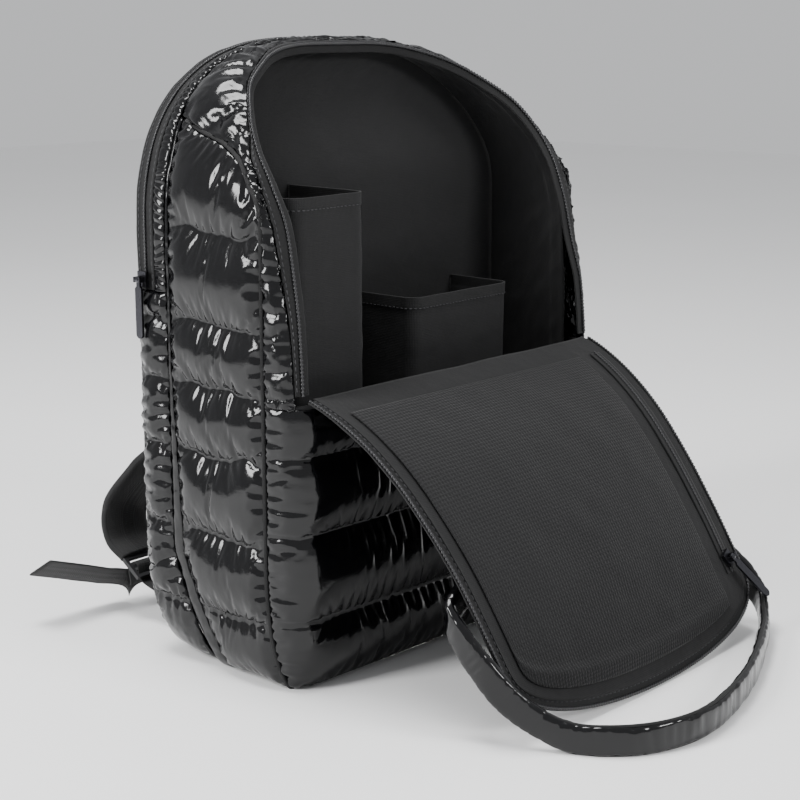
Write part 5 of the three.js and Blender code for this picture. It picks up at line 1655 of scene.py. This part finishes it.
@dataclass
class Flap:
    """The folded-down flap: puffed outside, lining, net pocket, zip tape with coil and the pocket's zip."""

    wardrobe: Wardrobe
    blow: Inflation
    length: float = 250.0
    half_root: float = 144.0
    narrowing: float = 10.0
    narrowing_length: float = 150.0
    corner: float = 49.0
    root_angle: float = 18.0
    bend: float = 190.0
    sway: float = 20.0
    sway_start: float = 100.0
    tip_height: float = 0.4
    tape_width: float = 8.0
    channels: int = 5
    puff: float = 5.0
    pocket_margin: float = 15.0
    pocket_fullness: float = 3.0
    zip_width: float = 10.0
    zip_from_edge: float = 12.0
    zip_start: float = 22.0
    zip_end: float = 204.0
    tail_angle: float = field(init=False)

    def __post_init__(self) -> None:
        """Finds the tail's slope at which the tip just rests on the floor, by halving."""
        low, high = self.root_angle, 90.0
        for _ in range(30):
            self.tail_angle = (low + high) / 2
            if self.run(np.array(self.length))[1] < B.hinge - self.tip_height:
                low = self.tail_angle
            else:
                high = self.tail_angle
        self.tail_angle = low

    @property
    def half_width(self) -> float:
        """Half of the flap's width past its root."""
        return self.half_root - self.narrowing

    def slope(self, length: Grid) -> Grid:
        """Slope below level in radians at a length along the flap."""
        share = np.clip(1 - length / self.bend, 0, 1.2)
        return np.radians(self.tail_angle - (self.tail_angle - self.root_angle) * share**1.5)

    def run(self, length: Grid) -> tuple[Grid, Grid]:
        """How far the flap has run forwards and down: the slope's cosine and sine summed in 24 steps."""
        middles = (np.arange(24) + 0.5) / 24
        angle = self.slope(np.asarray(length)[..., None] * middles)
        return np.cos(angle).mean(-1) * length, np.sin(angle).mean(-1) * length

    def point(self, share: Grid, length: Grid, offset: Grid, inset: float = 0.0) -> Grid:
        """Points of the flap.

        Args:
            share: Share across its half width, from -1 to 1.
            length: Length along it from the hinge.
            offset: Way out of it to its lining side.
            inset: Way in from its edges.

        Returns:
            The points.
        """
        share, length, offset = np.broadcast_arrays(share, length, offset)
        forward, down = self.run(length)
        angle = self.slope(length)
        half = self.half_width + self.narrowing * np.clip(1 - length / self.narrowing_length, 0, 1) ** 1.3
        sway = np.clip((length - self.sway_start) / (self.length - self.sway_start), 0, 1.1)
        x = self.sway * sway**1.5 + share * (half - inset)
        y = FRONT_Y - B.gap * 2 - forward - offset * np.sin(angle)
        return np.stack([x, y, np.maximum(B.hinge - down + offset * np.cos(angle), FLOOR_SKIN)], -1)

    def end(self, share: Grid, inset: float) -> Grid:
        """Length at which the flap ends at a share across."""
        straight = self.length - self.corner
        return straight + (self.corner - inset) * np.maximum(0, 1 - share**2) ** 0.357

    def layer(
        self, rows: int, columns: int, start: float, inset: float, last: float = 1.0
    ) -> tuple[Grid, Grid, Grid]:
        """Grid of shares across, of lengths and of row shares over the flap's outline.

        Args:
            rows: Rows along the flap.
            columns: Columns across it.
            start: Length of the first row.
            inset: Inset of the outline on all sides.
            last: Share across of the last column.

        Returns:
            Shares across, lengths along and the rows' shares.
        """
        row, angle = grid(np.linspace(0, 1, rows), np.linspace(0, math.pi, columns))
        share = lerp(-1.0, last, (1 - np.cos(angle)) / 2)
        return share, lerp(start, self.end(share, inset), row), row

    def outside(self) -> None:
        """The puffed side, facing the floor, in channels across it."""
        inset = self.tape_width + B.gap * 3
        share, length, row = self.layer(self.channels * 20 + 1, 110, 0.5, inset)
        surface = self.point(share, length, -B.gap / 2 - B.seam_wall, inset)
        facing = surface - self.point(share, length, 20.0, inset)
        place = (row * self.channels) % 1
        height = self.puff * channel(place) * (1 - np.abs(share) ** 6)
        pinned = on_edges(place) | (np.abs(share) > 1 - 1e-6)
        quilted_sheet(
            "flap_puffer", self.wardrobe.puffer, surface, facing, height, pinned,
            self.blow, growth=0.045, most=7.0, seed=160,
        )

    def lining(self) -> None:
        """The lining, a smooth sheet with a few long waves and a low rim under the edge tape."""
        inset = self.tape_width - 1.6
        share, length, _ = self.layer(110, 100, 0.5, inset)
        waves = 0.5 * cloth_noise(share * 130, length, 36.0, 171)
        rim = 0.5 * np.exp(-np.minimum(self.end(share, inset) - length, (1 - np.abs(share)) * 130) / 3)
        points = self.point(share, length, B.gap / 2 + B.cloth + np.minimum(waves, 0.2) + rim, inset)
        facing = self.point(share, length, 30.0, inset) - points
        piece = cloth_sheet("flap_lining_cloth", points, facing, B.cloth * 0.8)
        dress(piece, self.wardrobe.lining, ["flap_lining"])

    def net_pocket(self) -> None:
        """The net: loose over the lining, with a ridge near its end and soft folds."""
        zip_share = 1 - 2 * (self.zip_from_edge + self.zip_width) / (self.half_width * 2)
        share, length, row = self.layer(130, 120, self.zip_start, self.pocket_margin, zip_share)
        side = (share + 1) / (zip_share + 1)
        full = self.pocket_fullness * channel(side, 0.5) * channel(row, 0.4)
        x, along = share * self.half_width, length
        folds = 1.6 * cloth_noise(x * 0.5, along, 40.0, 181) + 0.8 * cloth_noise(x, along, 19.0, 182)
        ridge = 2.2 * np.exp(-(((row - 0.955) / 0.02) ** 2)) * channel(side, 0.3)
        folds = (folds * 0.8 + 0.6) * channel(side, 0.4) * channel(row, 0.4)
        height = B.gap * 1.5 + B.cloth * 1.8 + full + folds + ridge
        points = self.point(share, length, height, self.pocket_margin)
        facing = self.point(share, length, 40.0, self.pocket_margin) - points
        piece = cloth_sheet("mesh_pocket_net", points, facing, B.cloth * 0.6)
        dress(
            piece, self.wardrobe.net, ["mesh_pocket"],
        )

    def edge_point(self, perimeter: Grid, inset: Grid, offset: Grid) -> Grid:
        """Points on the flap's edge: down its left side, round the tip on a superellipse and up its right.

        Args:
            perimeter: 0 to 1, a third for each side and a third for the tip.
            inset: Way in from the edge.
            offset: Way out to the lining side.

        Returns:
            The points.
        """
        straight = self.length - self.corner
        third = perimeter * 3
        angle = np.clip(third - 1, 0, 1) * math.pi
        tip = straight + (self.corner - inset) * np.maximum(0, np.sin(angle)) ** 0.714
        length = np.where(third < 1, straight * third, np.where(third > 2, straight * (3 - third), tip))
        return self.point(-np.cos(angle), length, offset, inset)

    def tape(self) -> None:
        """Zip tape round the flap's edge with the other half of the coil on its outer edge."""
        rough = np.concatenate([
            np.linspace(0.004, 1 / 3, 400)[:-1],
            1 / 3 + (1 - np.cos(np.linspace(0, math.pi, 1200))) / 6,
            np.linspace(2 / 3, 0.996, 400)[1:],
        ])
        spacing = line_length(self.edge_point(rough, 0.0, 0.0))
        perimeter = np.interp(np.linspace(0, spacing[-1], 420), spacing, rough)
        p, c = grid(perimeter, np.linspace(0, 1, 9))
        middle = self.edge_point(p, self.tape_width * c, 0.0)
        above = self.edge_point(p, self.tape_width * c, 1.0) - middle
        along = running_length(middle, 0)
        height = 0.6 + 0.3 * cloth_noise(along, c * 8, 10.0, 191) * (1 - c)
        points = self.edge_point(p, self.tape_width * c, height)
        piece = cloth_sheet("flap_zip_tape_cloth", points, above, 1.0)
        dress(piece, self.wardrobe.tape, ["flap_zip_tape"])
        line = self.edge_point(perimeter, 1.2, 1.5)
        rings = coil_rings(line, above[:, 0], radius=1.0, pitch=2.4)
        rings[..., 2] = np.maximum(rings[..., 2], FLOOR_SKIN)
        dress(tube("flap_zip_coil", rings, cloth_width=6.5), self.wardrobe.nylon)
        stitch_row("flap_zip_stitches", points[:, 6] + above[:, 6] * 0.1, above[:, 6], self.wardrobe.thread)

    def pocket_zip(self) -> None:
        """The pocket's zip along the flap's right side: tape with a closed coil."""
        base, middle = B.gap * 1.5 + B.cloth, self.half_width - self.zip_from_edge - self.zip_width / 2
        half = self.zip_width / 2 - B.gap
        length, across = grid(np.linspace(self.zip_start, self.zip_end, 130), np.linspace(-half, half, 11))
        points = self.point((middle + across) / self.half_width, length, base + 1.0)
        facing = self.point((middle + across) / self.half_width, length, 9.0) - points
        piece = cloth_sheet("mesh_pocket_zip_tape", points, facing, 0.9)
        dress(piece, self.wardrobe.tape, ["mesh_pocket_zip"])
        rings = coil_rings(points[:, 5] + facing[:, 5] * 0.06, facing[:, 5], radius=0.9, pitch=2.2)
        dress(tube("mesh_pocket_zip_coil", rings, cloth_width=6.0), self.wardrobe.nylon)

    def build(self) -> None:
        """Builds the flap."""
        self.outside()
        self.lining()
        self.net_pocket()
        self.tape()
        self.pocket_zip()


@dataclass
class CarryHandle:
    """The padded handle that lies on the floor in front of the flap, its two edges piped."""

    wardrobe: Wardrobe
    flap: Flap
    width: float = 19.0
    thickness: float = 7.0
    seat: float = 150.0
    from_edge: float = 18.0
    reach: float = 110.0
    roundness: float = 0.55
    sides: int = 26
    right: tuple[float, ...] = (
        -0.97, -1.0, -0.98, -0.93, -0.86, -0.79, -0.7, -0.53, -0.3, 0.0, 0.35, 0.72, 0.98, 1.13, 1.13, 1.07,
    )
    forward: tuple[float, ...] = (
        0.02, 0.14, 0.27, 0.38, 0.5, 0.66, 0.84, 0.99, 1.06, 1.02, 0.9, 0.71, 0.55, 0.4, 0.24, 0.06,
    )
    height: tuple[float, ...] = (
        0.86, 0.7, 0.52, 0.34, 0.2, 0.1, 0.1, 0.1, 0.1, 0.1, 0.1, 0.1, 0.13, 0.26, 0.46, 0.68,
    )

    def route(self) -> Grid:
        """Centre line's control points, from the left seat round to the right one.

        Returns:
            The points.
        """
        lift = self.flap.puff + B.seam_wall + self.thickness * 0.45
        across = 1 - self.from_edge / self.flap.half_width
        seats = self.flap.point(np.array([-across, across]), np.array(self.seat), np.array(-lift))
        x = np.array(self.right) * self.flap.half_width
        y = seats[0, 1] - np.array(self.forward) * self.reach
        z = np.maximum(np.array(self.height) * seats[0, 2], self.width / 2)
        return np.vstack([seats[:1], np.stack([x, y, z], -1), seats[1:]])

    def away(self, part: Grid, size: float) -> Grid:
        """One part of the direction out of the superellipse section, along one of its axes."""
        share = np.linalg.norm(part, axis=-1, keepdims=True) / (size / 2)
        return part * share ** (2 / self.roundness - 1) / size

    def build(self) -> None:
        """Builds the padded band and its two piping cords."""
        line, tangent = catmull(self.route(), 18)
        along = running_length(line[:, None], 0)
        rings = band_rings(
            line, tangent, UPWARDS, self.width - 1.6, self.thickness, self.sides, self.roundness,
        )
        side = rings - line[:, None]
        rise = np.sum(side * UPWARDS, axis=-1, keepdims=True) * UPWARDS
        out = self.away(rise, self.width) + self.away(side - rise, self.thickness)
        out /= np.linalg.norm(out, axis=-1, keepdims=True) + 1e-9
        round_place = np.broadcast_to(np.arange(self.sides) * 2.0, rings.shape[:2])
        place = np.broadcast_to(along, rings.shape[:2])
        fold = np.abs(np.sin(math.pi * place / 8.5 + 2.6 * cloth_noise(place, round_place * 0.5, 15.0, 202)))
        crinkle = 0.55 * cloth_noise(place, round_place, 10.0, 201) - 0.6 * (1 - fold) ** 3
        rings = rings + out * crinkle[..., None]
        rings[..., 2] = np.maximum(rings[..., 2], FLOOR_SKIN)
        body = tube("carry_handle_pad", rings, cloth_width=46.0)
        dress(body, self.wardrobe.puffer, ["carry_handle"])
        for name, sign in (("upper", 1), ("lower", -1)):
            edge = line + UPWARDS * sign * (self.width / 2 - 1.0)
            cord = band_rings(edge, tangent, UPWARDS, width=2.2, thickness=2.6, sides=10, roundness=1.0)
            cord[..., 2] = np.maximum(cord[..., 2], FLOOR_SKIN)
            piping = tube(f"carry_handle_piping_{name}", cord, cloth_width=7.0)
            dress(piping, self.wardrobe.tape)


@dataclass
class Straps:
    """Shoulder straps behind the bag, their webbings and ladder buckles."""

    wardrobe: Wardrobe
    width: float = 56.0
    end_width: float = 34.0
    thickness: float = 9.0
    left: tuple[float, ...] = (0.14, 0.145, 0.15, 0.155, 0.16, 0.175, 0.21, 0.285, 0.335, 0.345, 0.345)
    behind: tuple[float, ...] = (0.06, 0.17, 0.27, 0.34, 0.37, 0.385, 0.42, 0.53, 0.585, 0.545, 0.44)
    height: tuple[float, ...] = (0.872, 0.865, 0.8, 0.68, 0.54, 0.41, 0.31, 0.24, 0.18, 0.13, 0.105)
    tail_left: tuple[float, ...] = (0.33, 0.35, 0.41, 0.49, 0.565)
    tail_behind: tuple[float, ...] = (0.47, 0.56, 0.59, 0.6, 0.61)
    tail_height: tuple[float, ...] = (0.05, 0.053, 0.066, 0.088, 0.108)
    anchor_height: float = 0.06
    buckle_thickness: float = 3.0
    buckle_length: float = 19.0
    buckle_edge: float = 0.6
    webbing_width: float = 25.0
    webbing_thickness: float = 1.5

    @staticmethod
    def behind_body(
        left: Sequence[float], behind: Sequence[float], height: Sequence[float], hand: int
    ) -> Grid:
        """Places behind the body.

        Args:
            left: Shares of the width away from the middle.
            behind: Shares of the depth behind the back.
            height: Shares of the height.
            hand: -1 for the left and 1 for the right.

        Returns:
            The points.
        """
        x, y = hand * np.array(left) * B.width, REAR_Y + np.array(behind) * B.depth
        return np.stack([x, y, np.array(height) * B.height], -1)

    def pad(self, hand: int) -> None:
        """The padded strap: a thick middle between two flat bound edges.

        Args:
            hand: -1 for the left and 1 for the right.
        """
        name = f"shoulder_strap_{SIDES[hand > 0]}"
        line, tangent = catmull(self.behind_body(self.left, self.behind, self.height, hand), 16)
        share = np.linspace(0, 1, len(line))
        width = lerp(self.width, self.end_width, share)
        rings = band_rings(line, tangent, SIDEWAYS, width, self.thickness, sides=36, roundness=0.6)
        piece = tube(f"{name}_pad", rings, cloth_width=120.0)
        for edge, sign in (("inner", -hand), ("outer", hand)):
            rim = line + SIDEWAYS * (sign * (width / 2 - 1.6))[:, None]
            binding = band_rings(rim, tangent, SIDEWAYS, width=4.4, thickness=5.6, sides=12, roundness=0.8)
            dress(tube(f"{name}_binding_{edge}", binding, cloth_width=16.0), self.wardrobe.tape)
        dress(piece, self.wardrobe.webbing, [name])

    def webbing(self, hand: int) -> None:
        """Webbing from the back through the buckle to its loose end, ribbed along its length.

        Args:
            hand: -1 for the left and 1 for the right.
        """
        name = f"strap_webbing_{SIDES[hand > 0]}"
        points = self.behind_body(self.left, self.behind, self.height, hand)
        up = (points[-2] - points[-1]) * np.array([0.0, 1.0, 1.0])
        up /= np.linalg.norm(up)
        middle = points[-1] - up * (self.buckle_length / 2 + B.gap)
        out = np.cross(SIDEWAYS, up)
        around = self.buckle_thickness / 2 + self.webbing_thickness / 2 + B.gap * 3
        low = self.anchor_height * B.height
        back = float(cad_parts["strap_webbing_left"].data.vertices[0].co.y) / METRES
        route = np.vstack([
            [middle[0], back, low],
            [middle[0], lerp(back, middle[1], 0.4), low * 0.92],
            middle - up * 8.25 - out * (around + B.gap),
            middle - up * 4.25,
            middle + out * around,
            middle + up * 4.25,
            middle + up * 4.25 - out * around * 1.6,
            self.behind_body(self.tail_left, self.tail_behind, self.tail_height, hand),
        ])
        line, tangent = catmull(route, 10)
        share = np.linspace(0, 1, len(line))[:, None]
        # Past the buckle the webbing turns over, so that its loose end lies flat as it hangs out.
        lying = np.array([hand * 0.95, -0.85, 1.0])
        wide = lerp(SIDEWAYS, lying, smoothstep(share, 0.62, 0.8))
        rings = band_rings(
            line, tangent, wide, self.webbing_width, self.webbing_thickness, sides=20, roundness=0.35,
        )
        piece = tube(f"{name}_weave", rings, cloth_width=53.0)
        dress(piece, self.wardrobe.webbing, [name])

    def build(self) -> None:
        """Builds both sides."""
        for hand in (-1, 1):
            self.pad(hand)
            self.webbing(hand)
            polish(f"strap_buckle_{SIDES[hand > 0]}", self.wardrobe.acetal, self.buckle_edge)


@dataclass
class Studio:
    """Pale floor, soft lights and the camera at the photograph's angle."""

    camera_at: tuple[float, float, float] = (-0.8527, -0.7748, 0.4096)
    look_at: tuple[float, float, float] = (0.0141, -0.0053, 0.1526)
    lens: float = 76.8
    world: str = "#f4f5f7"
    world_strength: float = 0.7
    floor_half: float = 4000.0
    bag_middle: tuple[float, float, float] = (0.0, -0.05, 0.2)

    def camera(self) -> None:
        """A 36 mm camera aimed at a point of the body."""
        data = bpy.data.cameras.new("camera")
        data.lens, data.sensor_width = self.lens, 36.0
        data.clip_start, data.clip_end = 0.05, 50.0
        made = bpy.data.objects.new("camera", data)
        made.location = self.camera_at
        direction = Vector(self.look_at) - Vector(self.camera_at)
        made.rotation_mode = "QUATERNION"
        made.rotation_quaternion = direction.to_track_quat("-Z", "Y")
        bpy.context.scene.collection.objects.link(made)
        bpy.context.scene.camera = made

    def softbox(
        self, name: str, at: tuple[float, float, float], size: tuple[float, float], watts: float
    ) -> None:
        """A rectangular softbox aimed at the middle of the bag.

        Args:
            name: Name of the light.
            at: Its place in metres.
            size: Its width and height in metres.
            watts: Its power.
        """
        data = bpy.data.lights.new(name, "AREA")
        data.shape, data.size, data.size_y, data.energy = "RECTANGLE", size[0], size[1], watts
        made = bpy.data.objects.new(name, data)
        made.location = at
        made.rotation_mode = "QUATERNION"
        made.rotation_quaternion = (Vector(self.bag_middle) - Vector(at)).to_track_quat("-Z", "Y")
        bpy.context.scene.collection.objects.link(made)

    def floor(self) -> None:
        """A wide pale floor just under the bag."""
        side = np.linspace(-self.floor_half, self.floor_half, 3)
        x, y = grid(side, side)
        points = np.stack([x, y, np.zeros_like(x)], -1)
        made = mesh_object("floor", points.reshape(-1, 3), grid_faces(3, 3, False), None)
        paint = Finish("painted_floor", "#f2f2f2", "#f6f6f6", roughness=0.6, roughness_spread=0.02)
        material, tree, where = paint.start()
        grain = add_node(tree, "ShaderNodeTexNoise", None, Vector=where, Scale=2.0)
        bump = add_node(tree, "ShaderNodeBump", None, Height=grain.outputs[0], Strength=0.0)
        paint.finish(tree, grain.outputs[0], bump.outputs[0])
        made.data.materials.append(material)

    def build(self) -> None:
        """Builds the studio."""
        self.camera()
        self.floor()
        world = bpy.data.worlds.new("studio")
        world.use_nodes = True
        background = world.node_tree.nodes["Background"]
        background.inputs[0].default_value = linear(self.world)
        background.inputs[1].default_value = self.world_strength
        bpy.context.scene.world = world
        self.softbox("left_softbox", at=(-1.5, 0.35, 0.95), size=(0.4, 0.9), watts=34.0)
        self.softbox("front_softbox", at=(0.3, -1.8, 1.0), size=(0.5, 0.5), watts=22.0)
        self.softbox("top_softbox", at=(-0.3, 0.2, 1.9), size=(0.8, 0.6), watts=34.0)


def main() -> None:
    """Builds the studio and every sub-assembly in order."""
    logging.basicConfig(level=logging.INFO, format="%(name)s %(message)s")
    Studio().build()
    wardrobe, blow = Wardrobe(), Inflation()
    QuiltedShell(wardrobe, blow).build()
    Zips(wardrobe).build()
    Compartment(wardrobe).build()
    flap = Flap(wardrobe, blow)
    flap.build()
    CarryHandle(wardrobe, flap).build()
    Straps(wardrobe).build()
    blow.run()


if __name__ == "__main__":
    main()
